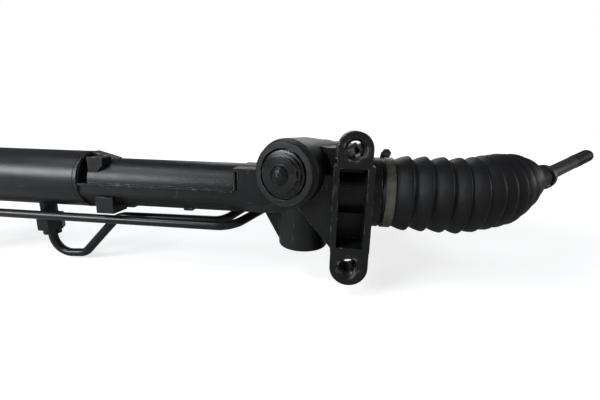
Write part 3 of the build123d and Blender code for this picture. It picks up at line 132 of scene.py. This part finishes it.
# Tie rods: distances run from the ball's centre
JOINT_BALL_R = 13.85
BALL_DEGREES = range(4, 156, 8)
ROD_LENGTH = 196.0
ROD_NECK_R = 5.0
ROD_THREAD_START = 152.0
ROD_THREAD_END = ROD_LENGTH - 3
ROD_ROOT_R = 6.15
ROD_THREAD_DEPTH = 0.83
ROD_THREAD_FADE = 2.0
ROD_PITCH = 1.5
ROD_POINTS = 40
ROD_SHANK = ((13.2, ROD_NECK_R + 0.1), (14.5, ROD_NECK_R), (34, ROD_NECK_R), (36, 5.5), (38, 6.3),
             (39.5, 6.6), (70, 6.58), (110, 6.62), (149.5, 6.6), (151, 6.3),
             (ROD_THREAD_START, ROD_ROOT_R))
ROD_TIP = ((ROD_THREAD_END + 0.3, 6.1), (ROD_THREAD_END + 1.6, 5.4), (ROD_LENGTH - 0.4, 4.4),
           (ROD_LENGTH, 3.4))

# Bracket lugs
LUG_X = 40.5
LUG_FACE_Y = -36.0
LUG_BACK_Y = -7.0
LUG_HOLES = {"upper": 38.0, "lower": -56.0}
LUG_THREAD_R = 7.0
LUG_ROOT_R = LUG_THREAD_R - 0.02
LUG_SHELL_R = LUG_THREAD_R + 0.3
LUG_THREAD_DEPTH = 0.75
LUG_THREAD_FADE = 2.5
LUG_LEAD_IN = 1.5
LUG_LEAD_OUT = 0.4
LUG_PITCH = 2.0
LUG_POINTS = 48

# Beads: (place along the rack's line, radius, thickness)
FLANGE_BEAD = (-196.9, 24.3, 0.8)
TUBE_END_BEAD = (-200.6, 25.5, 0.7)
BEAD_RINGS = 96
BEAD_POINTS = 12

WELD_DISTANCE = 1e-6

# Camera, with its turns in degrees
LENS = 19.2
SENSOR_WIDTH = 36.0
CLIP_START = 0.01
CLIP_END = 50.0
CAMERA_PLACE = (-0.01544, -0.242, 0.0638)
CAMERA_YAW = 5.93
CAMERA_PITCH = -13.24
CAMERA_ROLL = -1.56

# Studio
SKY_TINT = (0.86, 0.9, 1.0, 1)
SKY_STRENGTH = 0.13
GLOSSY_SHARE = 0.06
FLOOR_HALF = 4.0
FLOOR_GAP = 0.002
FLOOR_TONE = 0.55
FLOOR_ROUGHNESS = 0.9
FLOOR_SPECULAR = 0.1
# The floor's glow, which only the camera sees, grows with the distance from the frame's start
GLOW_FROM, GLOW_TO = 0.35, 1.3
GLOW_NEAR, GLOW_FAR = 0.66, 1.0
PLAIN = (1, 1, 1)
COOL = (0.95, 0.98, 1.0)
# name, place, target, size, power in watts, tint
LAMPS = (
    ("strip", (-0.93, -0.72, 0.4), (-0.3, 0.03, 0.01), (0.6, 0.3), 13, COOL),
    ("key", (-0.62, -0.34, 0.82), (-0.12, 0.03, 0), (0.5, 0.25), 4, COOL),
    ("front", (0.3, -1.1, 0.55), (0.0, 0.0, 0.0), (0.8, 0.8), 0.9, PLAIN),
    ("right", (1.1, -0.05, 0.32), (0.12, 0.03, 0), (0.5, 0.35), 3.5, PLAIN),
    ("back", (-0.2, 1.1, 0.6), (0, 0, 0), (1.0, 0.4), 3, PLAIN),
)

# Materials
BEVEL_SAMPLES = 4
NOISE_ROUGHNESS = 0.55
PAINT_SPECULAR = 0.3
PAINT_EDGE = 0.0006
# Radius of the edge mask for light bare metal: partly chipped paint, partly a painted edge
# highlight
EDGE_WEAR_AND_HIGHLIGHT_RADIUS = 0.0008
SCRATCH_STRETCH = (1.0, 14.0, 0.7)
SCRATCH_SHARE = 0.12
SCRATCH_COLOUR = (0.16, 0.16, 0.16)
# Colour and metallic of that edge metal, which is partly real wear and partly a painted edge
# highlight
BARE_METAL_AND_HIGHLIGHT_COLOUR = (0.3, 0.29, 0.27)
BARE_METAL_AND_HIGHLIGHT_METALLIC = 0.8
FINE_GRAIN_SCALE = 4.5
FINE_GRAIN_DEPTH = 0.3
SEAT_MARK_SCALE = (90.0, 0.0, 90.0)
SEAT_MARK_BAND = [(0.755, 0.0), (0.775, 1.0), (0.83, 1.0), (0.85, 0.1), (0.93, 0.1), (0.95, 0.6),
                  (0.965, 0.0)]
RUBBER_SPECULAR = 0.22
SOFT_EDGE = 0.0003
NO_BRUSH = (1.0, 1.0, 1.0)


def at(x, y, z):
    """A point of the part's own drawing, in millimetres, as metres in the frame."""
    return (Vector((x, y, z)) + SHIFT) / 1000


def between(table, s):
    """A value read off a line through (distance, value) points, level outside them."""
    if s <= table[0][0]:
        return table[0][1]
    for (s0, v0), (s1, v1) in zip(table, table[1:]):
        if s <= s1:
            share = (s - s0) / (s1 - s0)
            return v0 + (v1 - v0) * share
    return table[-1][1]


def rod_direction(side, sweep, rise):
    """The way a tie rod points, on the side +1 or -1 of the rack's line."""
    turn, lift = math.radians(sweep), math.radians(rise)
    flat = math.cos(lift)
    return Vector((side * flat * math.cos(turn), flat * math.sin(turn), math.sin(lift)))


# Camera and light

def camera():
    data = bpy.data.cameras.new("camera")
    data.lens = LENS
    data.sensor_width = SENSOR_WIDTH
    data.clip_start = CLIP_START
    data.clip_end = CLIP_END
    data.dof.use_dof = False
    eye = bpy.data.objects.new("camera", data)
    bpy.context.scene.collection.objects.link(eye)
    turn = (Matrix.Rotation(math.radians(CAMERA_YAW), 4, "Z")
            @ Matrix.Rotation(math.radians(CAMERA_PITCH), 4, "X")
            @ Matrix.Rotation(math.radians(CAMERA_ROLL), 4, "Y"))
    stand = Matrix.Rotation(math.radians(90), 4, "X")
    eye.matrix_world = Matrix.Translation(CAMERA_PLACE) @ turn @ stand
    bpy.context.scene.camera = eye


def lamp(name, place, target, size, power, tint):
    data = bpy.data.lights.new(name, "AREA")
    data.shape = "RECTANGLE"
    data.size, data.size_y = size
    data.energy = power
    data.color = tint
    light = bpy.data.objects.new(name, data)
    bpy.context.scene.collection.objects.link(light)
    light.location = place
    aim = Vector(target) - Vector(place)
    light.rotation_euler = aim.to_track_quat("-Z", "Y").to_euler()


def world():
    """Soft light on the object, and white where the camera sees past the floor."""
    sky = bpy.data.worlds.new("studio")
    bpy.context.scene.world = sky
    sky.use_nodes = True
    tree = sky.node_tree
    tree.nodes.clear()
    out = tree.nodes.new("ShaderNodeOutputWorld")
    mix = tree.nodes.new("ShaderNodeMixShader")
    soft = tree.nodes.new("ShaderNodeBackground")
    soft.inputs["Color"].default_value = SKY_TINT
    soft.inputs["Strength"].default_value = SKY_STRENGTH
    white = tree.nodes.new("ShaderNodeBackground")
    white.inputs["Color"].default_value = (1, 1, 1, 1)
    white.inputs["Strength"].default_value = 1.0
    path = tree.nodes.new("ShaderNodeLightPath")
    either = tree.nodes.new("ShaderNodeMath")
    either.operation = "MAXIMUM"
    tree.links.new(path.outputs["Is Camera Ray"], either.inputs[0])
    tree.links.new(path.outputs["Is Transmission Ray"], either.inputs[1])
    seen = tree.nodes.new("ShaderNodeMath")
    seen.operation = "MULTIPLY_ADD"
    seen.inputs[1].default_value = GLOSSY_SHARE
    tree.links.new(path.outputs["Is Glossy Ray"], seen.inputs[0])
    tree.links.new(either.outputs[0], seen.inputs[2])
    tree.links.new(seen.outputs[0], mix.inputs["Fac"])
    tree.links.new(soft.outputs[0], mix.inputs[1])
    tree.links.new(white.outputs[0], mix.inputs[2])
    tree.links.new(mix.outputs[0], out.inputs["Surface"])


def floor():
    """A pale floor that keeps the object's shadow and fades to white."""
    half, low = FLOOR_HALF, cad_box[0][2] - FLOOR_GAP
    mesh = bpy.data.meshes.new("floor")
    mesh.from_pydata([(-half, -half, low), (half, -half, low), (half, half, low),
                      (-half, half, low)], [], [(0, 1, 2, 3)])
    ground = bpy.data.objects.new("floor", mesh)
    bpy.context.scene.collection.objects.link(ground)
    material = bpy.data.materials.new("floor")
    material.use_nodes = True
    tree = material.node_tree
    shader = tree.nodes["Principled BSDF"]
    shader.inputs["Base Color"].default_value = (FLOOR_TONE, FLOOR_TONE, FLOOR_TONE, 1)
    shader.inputs["Roughness"].default_value = FLOOR_ROUGHNESS
    shader.inputs["Specular IOR Level"].default_value = FLOOR_SPECULAR
    shader.inputs["Emission Color"].default_value = (1, 1, 1, 1)
    coords = tree.nodes.new("ShaderNodeTexCoord")
    away = tree.nodes.new("ShaderNodeVectorMath")
    away.operation = "LENGTH"
    fade = tree.nodes.new("ShaderNodeMapRange")
    fade.inputs["From Min"].default_value = GLOW_FROM
    fade.inputs["From Max"].default_value = GLOW_TO
    fade.inputs["To Min"].default_value = GLOW_NEAR
    fade.inputs["To Max"].default_value = GLOW_FAR
    path = tree.nodes.new("ShaderNodeLightPath")
    glow = tree.nodes.new("ShaderNodeMath")
    glow.operation = "MULTIPLY"
    tree.links.new(coords.outputs["Object"], away.inputs[0])
    tree.links.new(away.outputs["Value"], fade.inputs["Value"])
    tree.links.new(fade.outputs["Result"], glow.inputs[1])
    tree.links.new(path.outputs["Is Camera Ray"], glow.inputs[0])
    tree.links.new(glow.outputs[0], shader.inputs["Emission Strength"])
    mesh.materials.append(material)


# Materials

class Finish:
    """Builds one procedural material from noise layers in object space."""

    def __init__(self, name):
        self.material = bpy.data.materials.new(name)
        self.material.use_nodes = True
        self.tree = self.material.node_tree
        self.shader = self.tree.nodes["Principled BSDF"]
        self.coords = self.node("ShaderNodeTexCoord").outputs["Object"]

    def node(self, kind, **values):
        made = self.tree.nodes.new(kind)
        for key, value in values.items():
            setattr(made, key, value)
        return made

    def link(self, source, target):
        self.tree.links.new(source, target)

    def feed(self, source, socket):
        """Link a value to one of the shader's own sockets."""
        self.link(source, self.shader.inputs[socket])

    def set(self, **values):
        for key, value in values.items():
            self.shader.inputs[key.replace("_", " ")].default_value = value

    def noise(self, scale, detail, stretch=None):
        texture = self.node("ShaderNodeTexNoise")
        texture.inputs["Scale"].default_value = scale
        texture.inputs["Detail"].default_value = detail
        texture.inputs["Roughness"].default_value = NOISE_ROUGHNESS
        source = self.coords
        if stretch:
            mapping = self.node("ShaderNodeMapping")
            mapping.inputs["Scale"].default_value = stretch
            self.link(source, mapping.inputs["Vector"])
            source = mapping.outputs[0]
        self.link(source, texture.inputs["Vector"])
        return texture.outputs[0]

    def ramp(self, value, stops):
        """A value read off (place, number or colour) stops."""
        ramp = self.node("ShaderNodeValToRGB")
        elements = ramp.color_ramp.elements
        while len(elements) < len(stops):
            elements.new(0.5)
        for element, (place, colour) in zip(elements, stops):
            if not isinstance(colour, tuple):
                colour = (colour, colour, colour)
            element.position = place
            element.color = (*colour, 1)
        self.link(value, ramp.inputs[0])
        return ramp.outputs[0]

    def maths(self, operation, a, b):
        step = self.node("ShaderNodeMath", operation=operation)
        for socket, value in zip(step.inputs, (a, b)):
            if isinstance(value, (int, float)):
                socket.default_value = value
            else:
                self.link(value, socket)
        return step.outputs[0]

    def mix(self, share, a, b):
        blend = self.node("ShaderNodeMix", data_type="RGBA")
        for socket, value in ((blend.inputs[6], a), (blend.inputs[7], b)):
            if isinstance(value, tuple):
                socket.default_value = (*value, 1)
            else:
                self.link(value, socket)
        self.link(share, blend.inputs[0])
        return blend.outputs[2]

    def bevel(self, radius):
        bevel = self.node("ShaderNodeBevel", samples=BEVEL_SAMPLES)
        bevel.inputs["Radius"].default_value = radius
        return bevel.outputs[0]

    def edges(self, radius):
        """Near 1 on convex and concave edges, near 0 on open faces."""
        softened = self.bevel(radius)
        geometry = self.node("ShaderNodeNewGeometry")
        dot = self.node("ShaderNodeVectorMath", operation="DOT_PRODUCT")
        self.link(softened, dot.inputs[0])
        self.link(geometry.outputs["Normal"], dot.inputs[1])
        return self.maths("SUBTRACT", 1.0, dot.outputs["Value"])

    def seat_marks(self):
        """Arcs that bolt heads have rubbed into the faces round the bracket's holes."""
        marks = None
        for hole_z in LUG_HOLES.values():
            shift = self.node("ShaderNodeVectorMath", operation="SUBTRACT")
            shift.inputs[1].default_value = at(LUG_X, LUG_FACE_Y, hole_z)
            flat = self.node("ShaderNodeVectorMath", operation="MULTIPLY")
            flat.inputs[1].default_value = SEAT_MARK_SCALE
            away = self.node("ShaderNodeVectorMath", operation="LENGTH")
            self.link(self.coords, shift.inputs[0])
            self.link(shift.outputs[0], flat.inputs[0])
            self.link(flat.outputs[0], away.inputs[0])
            band = self.ramp(away.outputs["Value"], SEAT_MARK_BAND)
            marks = band if marks is None else self.maths("MAXIMUM", marks, band)
        patchy = self.ramp(self.noise(scale=120, detail=5), [(0.5, 0.0), (0.6, 0.5)])
        return self.maths("MULTIPLY", marks, patchy)

    def relief(self, layers, edge_radius=0.0):
        """Bump from (height, depth in metres) layers over softened edges."""
        normal = self.bevel(edge_radius) if edge_radius else None
        for height, depth in layers:
            bump = self.node("ShaderNodeBump")
            bump.inputs["Distance"].default_value = depth
            bump.inputs["Strength"].default_value = 1.0
            self.link(height, bump.inputs["Height"])
            if normal is not None:
                self.link(normal, bump.inputs["Normal"])
            normal = bump.outputs[0]
        self.feed(normal, "Normal")


def paint(name, dark, light, rough, grain, grain_depth, chips, edge=PAINT_EDGE, worn_holes=False):
    """Satin black paint over metal: uneven gloss, grain, fine scratches and chipped edges; the
    light bare metal along the edges is partly chipped paint and partly a painted edge highlight.
    """
    look = Finish(name)
    colour = look.ramp(look.noise(scale=45, detail=5), [(0.35, dark), (0.7, light)])
    scratch = look.noise(scale=90, detail=2, stretch=SCRATCH_STRETCH)
    scratches = look.ramp(scratch, [(0.685, 0.0), (0.7, 1.0)])
    scuffed = look.mix(look.maths("MULTIPLY", scratches, SCRATCH_SHARE), colour, SCRATCH_COLOUR)
    # Light bare metal along convex and concave edges, broken into patches: partly chipped paint,
    # partly a painted edge highlight
    edge_wear_and_highlight = look.ramp(look.edges(EDGE_WEAR_AND_HIGHLIGHT_RADIUS), [(0.06, 0.0), (0.22, 1.0)])
    patches = look.ramp(look.noise(scale=210, detail=6), [(0.6 - chips, 0.0), (0.66 - chips, 1.0)])
    bare_metal_and_highlight = look.maths("MULTIPLY", edge_wear_and_highlight, patches)
    if worn_holes:
        bare_metal_and_highlight = look.maths("MAXIMUM", bare_metal_and_highlight, look.seat_marks())
    look.feed(look.mix(bare_metal_and_highlight, scuffed, BARE_METAL_AND_HIGHLIGHT_COLOUR), "Base Color")
    look.feed(look.maths("MULTIPLY", bare_metal_and_highlight, BARE_METAL_AND_HIGHLIGHT_METALLIC), "Metallic")
    look.feed(look.ramp(look.noise(scale=28, detail=6), [(0.3, rough[0]), (0.72, rough[1])]),
              "Roughness")
    look.set(Specular_IOR_Level=PAINT_SPECULAR)
    coarse = look.noise(scale=grain, detail=5)
    fine = look.noise(scale=grain * FINE_GRAIN_SCALE, detail=3)
    look.relief([(coarse, grain_depth), (fine, grain_depth * FINE_GRAIN_DEPTH)], edge)
    return look.material


def rubber():
    """Moulded black rubber, dull and a little uneven."""
    look = Finish("boot_rubber")
    look.feed(look.ramp(look.noise(scale=35, detail=5),
                        [(0.3, (0.0035, 0.0035, 0.0038)), (0.75, (0.0085, 0.0085, 0.009))]),
              "Base Color")
    look.feed(look.ramp(look.noise(scale=60, detail=5), [(0.3, 0.4), (0.75, 0.58)]), "Roughness")
    look.set(Specular_IOR_Level=RUBBER_SPECULAR)
    look.relief([(look.noise(scale=400, detail=3), 0.00006),
                 (look.noise(scale=70, detail=3), 0.0004)])
    return look.material


def metal(name, dark, light, rough, brush=NO_BRUSH, depth=0.00002):
    """Bare or plated metal, with its grain drawn out where it is brushed."""
    look = Finish(name)
    look.feed(look.ramp(look.noise(scale=110, detail=5, stretch=brush),
                        [(0.3, dark), (0.72, light)]), "Base Color")
    look.feed(look.ramp(look.noise(scale=240, detail=4, stretch=brush),
                        [(0.3, rough[0]), (0.7, rough[1])]), "Roughness")
    look.set(Metallic=1.0)
    look.relief([(look.noise(scale=900, detail=3, stretch=brush), depth)], SOFT_EDGE)
    return look.material


def plastic(name, dark, light):
    """Moulded plastic with a faint grain."""
    look = Finish(name)
    look.feed(look.ramp(look.noise(scale=80, detail=4), [(0.3, dark), (0.7, light)]),
              "Base Color")
    look.feed(look.ramp(look.noise(scale=200, detail=3), [(0.3, 0.4), (0.7, 0.55)]), "Roughness")
    look.relief([(look.noise(scale=700, detail=3), 0.00003)], SOFT_EDGE)
    return look.material


def dress(material, *names):
    """Give carried-over CAD nodes their material."""
    for name in names:
        node = NODES[name]
        if not node.material_slots:
            node.data.materials.append(material)
        for place in node.material_slots:
            place.material = material


# Meshes

def rebuild(mesh, join):
    """Turn all faces outwards, once points that lie together are joined if asked."""
    build = bmesh.new()
    build.from_mesh(mesh)
    if join:
        bmesh.ops.remove_doubles(build, verts=build.verts, dist=WELD_DISTANCE)
    bmesh.ops.recalc_face_normals(build, faces=build.faces)
    build.to_mesh(mesh)
    build.free()


def new_piece(name, verts, faces, material, body=None):
    """An object from points of the part's drawing."""
    mesh = bpy.data.meshes.new(name)
    mesh.from_pydata([tuple(at(*v)) for v in verts], [], faces)
    mesh.validate()
    rebuild(mesh, join=False)
    for face in mesh.polygons:
        face.use_smooth = True
    mesh.materials.append(material)
    piece = bpy.data.objects.new(name, mesh)
    bpy.context.scene.collection.objects.link(piece)
    if body:
        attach(piece, body)
    return piece


def closed_piece(name, rings, material, body=None):
    """A piece whose last ring meets its first."""
    verts, faces = sheath(rings + [rings[0]])
    piece = new_piece(name, verts, faces, material, body)
    rebuild(piece.data, join=True)
    return piece


def sheath(rings, closed_ends=False):
    """Vertices and faces of a skin through rings of equal point counts."""
    count = len(rings[0])
    verts = [v for ring in rings for v in ring]
    faces = []
    for n in range(len(rings) - 1):
        for k in range(count):
            a, b = n * count + k, n * count + (k + 1) % count
            faces.append((a, b, b + count, a + count))
    if closed_ends:
        faces.append(tuple(range(count)))
        faces.append(tuple((len(rings) - 1) * count + k for k in range(count)))
    return verts, faces


def frame_along(direction):
    """Two directions square to a third: sideways and up."""
    side = direction.cross(Z).normalized()
    return side, side.cross(direction).normalized()


def ring_round(centre, side, up, radius_at, count):
    """Points round a centre, whose radius is a function of the share of a turn."""
    points = []
    for k in range(count):
        turn = k / count
        a = 2 * math.pi * turn
        points.append(centre + (side * math.cos(a) + up * math.sin(a)) * radius_at(turn))
    return points


def circle(centre, direction, radius, count):
    return ring_round(centre, *frame_along(direction), lambda turn: radius, count)


def thread_radius(share, root, crest):
    """Radius at a share of a thread's turn, with flat roots and crests."""
    share %= 1.0
    if share < THREAD_FLAT:
        return crest
    if share < THREAD_FLAT + THREAD_FLANK:
        return crest + (root - crest) * (share - THREAD_FLAT) / THREAD_FLANK
    if share < 2 * THREAD_FLAT + THREAD_FLANK:
        return root
    return root + (crest - root) * (share - 2 * THREAD_FLAT - THREAD_FLANK) / THREAD_FLANK


class BootPath:
    """The boot's middle line: straight, an arc round the ball joint, and straight again."""

    def __init__(self, seat_end, ball_x, side, sweep, rise, lift):
        self.start = Vector((seat_end, 0, 0))
        self.along = Vector((side, 0, 0))
        self.out = rod_direction(side, sweep, rise)
        self.ball = Vector((ball_x, 0, 0))
        self.lift = lift
        self.first = abs(ball_x - seat_end) - BEND_TANGENT
        angle = self.along.angle(self.out)
        self.radius = BEND_TANGENT / math.tan(angle / 2)
        self.arc = self.radius * angle
        self.turn_axis = self.along.cross(self.out).normalized()
        self.centre = (self.start + self.along * self.first
                       + self.turn_axis.cross(self.along) * self.radius)

    def place(self, s):
        """Centre and direction at a distance along the line, which is lifted near the joint."""
        rise = Vector((0, 0, self.lift * between(LIFTS, s)))
        if s <= self.first:
            return self.start + self.along * s + rise, self.along
        if s <= self.first + self.arc:
            turn = Matrix.Rotation((s - self.first) / self.radius, 3, self.turn_axis)
            arm = self.start + self.along * self.first - self.centre
            return self.centre + turn @ arm + rise, turn @ self.along
        past = BEND_TANGENT + s - self.first - self.arc
        return self.ball + self.out * past + rise, self.out


def boot_valleys():
    inner = [here + VALLEY_SHARE * (there - here) for here, there in zip(CRESTS, CRESTS[1:])]
    return [FIRST_VALLEY, *inner, LAST_VALLEY]


def boot_profile():
    """(distance, radius) points along the boot's outside, which closes in to the tie rod."""
    points = list(CUFF)
    valleys = boot_valleys()
    for left, right in zip(valleys, valleys[1:]):
        depth = min(FOLD_DEPTH, FOLD_DEPTH_SHARE * (right - left))
        for share, rise in FOLD:
            s = left + (right - left) * share
            points.append((s, between(ENVELOPE, s) - depth * (1 - rise)))
    points.append((LAST_VALLEY, between(ENVELOPE, LAST_VALLEY) - LAST_VALLEY_DIP))
    return points + list(END_CUFF)


def wobble(point, centre):
    """Moulded rubber is never quite round."""
    arm = point - centre
    amount = sum(size * noise.noise(point * scale) for size, scale in WOBBLES)
    return centre + arm * (1 + amount / max(arm.length, 1))


def boot(side_name, path, swing_body, rod_body, material):
    """Three skins per boot, with their joins in the valleys."""
    valleys = boot_valleys()
    first_cut, second_cut = valleys[FIRST_CUT], valleys[SECOND_CUT]
    profile = boot_profile()
    spans = [(-BEYOND, first_cut), (first_cut, second_cut), (second_cut, BEYOND)]
    bodies = [("housing", "rack"), ("rack", swing_body), (swing_body, rod_body)]
    windows = [(0.0, first_cut - FIRST_BEND_MARGIN),
               (first_cut + BEND_MARGIN, second_cut - BEND_MARGIN),
               (second_cut + BEND_MARGIN, LAST_VALLEY + PAST_LAST_VALLEY)]
    node = f"boot_{side_name}"
    for index, (span, pair, window) in enumerate(zip(spans, bodies, windows)):
        outside = [p for p in profile if span[0] - SAME_PLACE <= p[0] <= span[1] + SAME_PLACE]
        inside = [(s, max(r - BOOT_WALL, BOOT_BORE_R)) for s, r in reversed(outside)]
        rings = []
        for s, radius in outside + inside:
            centre, direction = path.place(s)
            ring = circle(centre, direction, radius, BOOT_POINTS)
            rings.append([wobble(v, centre) for v in ring])
        piece = closed_piece(f"{node}_skin_{index + 1}", rings, material)
        start, _ = path.place(window[0])
        end, _ = path.place(window[1])
        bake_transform(piece)
        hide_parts(node)


def tie_rod(side_name, ball_x, side, sweep, rise, material):
    """Ball, neck and shank turned in one piece, with a cut thread at the outer end."""
    direction = rod_direction(side, sweep, rise)
    ball = Vector((ball_x, 0, 0))
    axes = frame_along(direction)

    def plain(s, radius):
        return circle(ball + direction * s, direction, radius, ROD_POINTS)

    def cut(s, fade):
        crest = ROD_ROOT_R + ROD_THREAD_DEPTH * fade
        return ring_round(ball + direction * s, *axes,
                          lambda turn: thread_radius(s / ROD_PITCH - turn, ROD_ROOT_R, crest),
                          ROD_POINTS)

    neck_starts = math.sqrt(JOINT_BALL_R ** 2 - ROD_NECK_R ** 2)
    shape = [(-JOINT_BALL_R * math.cos(a), JOINT_BALL_R * math.sin(a))
             for a in (math.radians(d) for d in BALL_DEGREES)]
    shape = [p for p in shape if p[0] < neck_starts]
    rings = [plain(s, r) for s, r in (*shape, *ROD_SHANK)]
    step = ROD_PITCH / RINGS_PER_TURN
    for n in range(int((ROD_THREAD_END - ROD_THREAD_START) / step)):
        done = (n + 1) * step
        rings.append(cut(ROD_THREAD_START + done, min(1.0, done / ROD_THREAD_FADE)))
    rings += [plain(s, r) for s, r in ROD_TIP]
    verts, faces = sheath(rings, closed_ends=True)
    piece = new_piece(f"tie_rod_{side_name}_turned", verts, faces, material, f"rod_{side_name}")
    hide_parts(f"tie_rod_{side_name}")


def lug_thread(name, hole_z, material):
    """The cut thread inside a bracket lug."""
    start, end = LUG_FACE_Y + LUG_LEAD_IN, LUG_BACK_Y - LUG_LEAD_OUT

    def round_hole(y, radius_at):
        return ring_round(Vector((LUG_X, y, hole_z)), X, Z, radius_at, LUG_POINTS)

    def cut(y, fade):
        crest = LUG_ROOT_R - LUG_THREAD_DEPTH * fade
        return round_hole(y, lambda turn: thread_radius(y / LUG_PITCH - turn, LUG_ROOT_R, crest))

    step = LUG_PITCH / RINGS_PER_TURN
    rings = [cut(start + n * step, min(1.0, n * step / LUG_THREAD_FADE))
             for n in range(int((end - start) / step) + 1)]
    rings += [round_hole(y, lambda turn: LUG_SHELL_R) for y in (end, start)]
    piece = closed_piece(f"lug_thread_{name}", rings, material, "housing")


def bead(name, centre_x, radius, thickness, material):
    """A rolled bead round the rack's axis."""
    rings = []
    for k in range(BEAD_RINGS):
        a = 2 * math.pi * k / BEAD_RINGS
        out = Vector((0, math.cos(a), math.sin(a)))
        rings.append(ring_round(Vector((centre_x, 0, 0)) + out * radius, X, out,
                                lambda turn: thickness, BEAD_POINTS))
    piece = closed_piece(name, rings, material, "housing")


camera()
world()
floor()
for lamp_values in LAMPS:
    lamp(*lamp_values)

CAST = paint("cast_paint", dark=(0.0028, 0.0029, 0.003), light=(0.0075, 0.0075, 0.0078),
             rough=(0.33, 0.48), grain=420, grain_depth=0.0002, chips=0.09, worn_holes=True)
TUBE = paint("tube_paint", dark=(0.004, 0.004, 0.0045), light=(0.006, 0.006, 0.0066),
             rough=(0.33, 0.4), grain=900, grain_depth=0.00003, chips=-0.02)
PIPE = paint("pipe_paint", dark=(0.004, 0.004, 0.0045), light=(0.008, 0.008, 0.0085),
             rough=(0.26, 0.36), grain=700, grain_depth=0.00003, chips=0.0, edge=0.0003)
CAP = paint("cap_paint", dark=(0.003, 0.003, 0.003), light=(0.0065, 0.0065, 0.0068),
            rough=(0.16, 0.25), grain=600, grain_depth=0.00003, chips=0.06)
ROD = paint("rod_paint", dark=(0.008, 0.0075, 0.007), light=(0.022, 0.021, 0.019),
            rough=(0.36, 0.48), grain=500, grain_depth=0.00005, chips=0.02, edge=0.0002)
RUBBER = rubber()
BAND = metal("clamp_zinc", dark=(0.085, 0.085, 0.07), light=(0.18, 0.18, 0.155),
             rough=(0.34, 0.52), depth=0.00003)
STEEL = metal("ground_steel", dark=(0.42, 0.42, 0.43), light=(0.6, 0.6, 0.61),
              rough=(0.2, 0.34), brush=(1.0, 6.0, 6.0))
DARK_STEEL = metal("dark_steel", dark=(0.05, 0.05, 0.05), light=(0.12, 0.12, 0.115),
                   rough=(0.32, 0.5))
THREAD = metal("thread_steel", dark=(0.012, 0.012, 0.012), light=(0.2, 0.195, 0.185),
               rough=(0.25, 0.42))
BRONZE = metal("bush_bronze", dark=(0.42, 0.27, 0.12), light=(0.58, 0.4, 0.2),
               rough=(0.28, 0.42))
ALLOY = metal("machined_alloy", dark=(0.5, 0.5, 0.51), light=(0.66, 0.66, 0.67),
              rough=(0.26, 0.4))
SEAT = plastic("seat_plastic", dark=(0.6, 0.57, 0.48), light=(0.74, 0.71, 0.61))

dress(CAST, "pinion_housing", "valve_housing", "mount_saddle")
dress(TUBE, "cylinder_tube")
dress(PIPE, "port_bosses", "line_nuts", "short_line", "long_line")
dress(CAP, "pinion_end_cap", "yoke_plug", "yoke_lock_nut")
dress(RUBBER, "mount_bush", "inner_rack_seal", "outer_rack_seal", "lower_valve_seal",
      "input_shaft_seal")
dress(BAND, "boot_band_right", "boot_band_left")
dress(DARK_STEEL, "band_screw_right", "band_screw_left", "boot_clip_right", "boot_clip_left",
      "valve_housing_bolts")
dress(STEEL, "rack_bar", "piston", "ball_socket_right", "ball_socket_left", "lock_washers",
      "pinion_shaft", "pinion_nut", "lower_bearing_inner_race", "lower_bearing_outer_race",
      "lower_bearing_balls", "valve_sleeve", "input_shaft", "torsion_bar", "input_cross_pin",
      "yoke_spring", "gland_snap_ring", "input_shaft_bearing")
dress(BRONZE, "gland_bushing", "upper_pinion_bush", "rack_bushing")
dress(SEAT, "ball_seat_right", "ball_seat_left", "piston_ring", "sleeve_rings", "yoke_pad")
dress(ALLOY, "end_gland", "yoke")

boot("right", BootPath(HOUSING_RIGHT, RIGHT_BALL_X, 1, *RIGHT_ROD, RIGHT_LIFT),
     "seat_right", "rod_right", RUBBER)
boot("left", BootPath(TUBE_LEFT, LEFT_BALL_X, -1, *LEFT_ROD, LEFT_LIFT),
     "seat_left", "rod_left", RUBBER)
tie_rod("right", RIGHT_BALL_X, 1, *RIGHT_ROD, ROD)
tie_rod("left", LEFT_BALL_X, -1, *LEFT_ROD, ROD)
bead("flange_bead", *FLANGE_BEAD, CAST)
bead("tube_end_bead", *TUBE_END_BEAD, TUBE)
for lug_name, lug_z in LUG_HOLES.items():
    lug_thread(lug_name, lug_z, THREAD)

view = bpy.context.scene.view_settings
view.view_transform = "Standard"
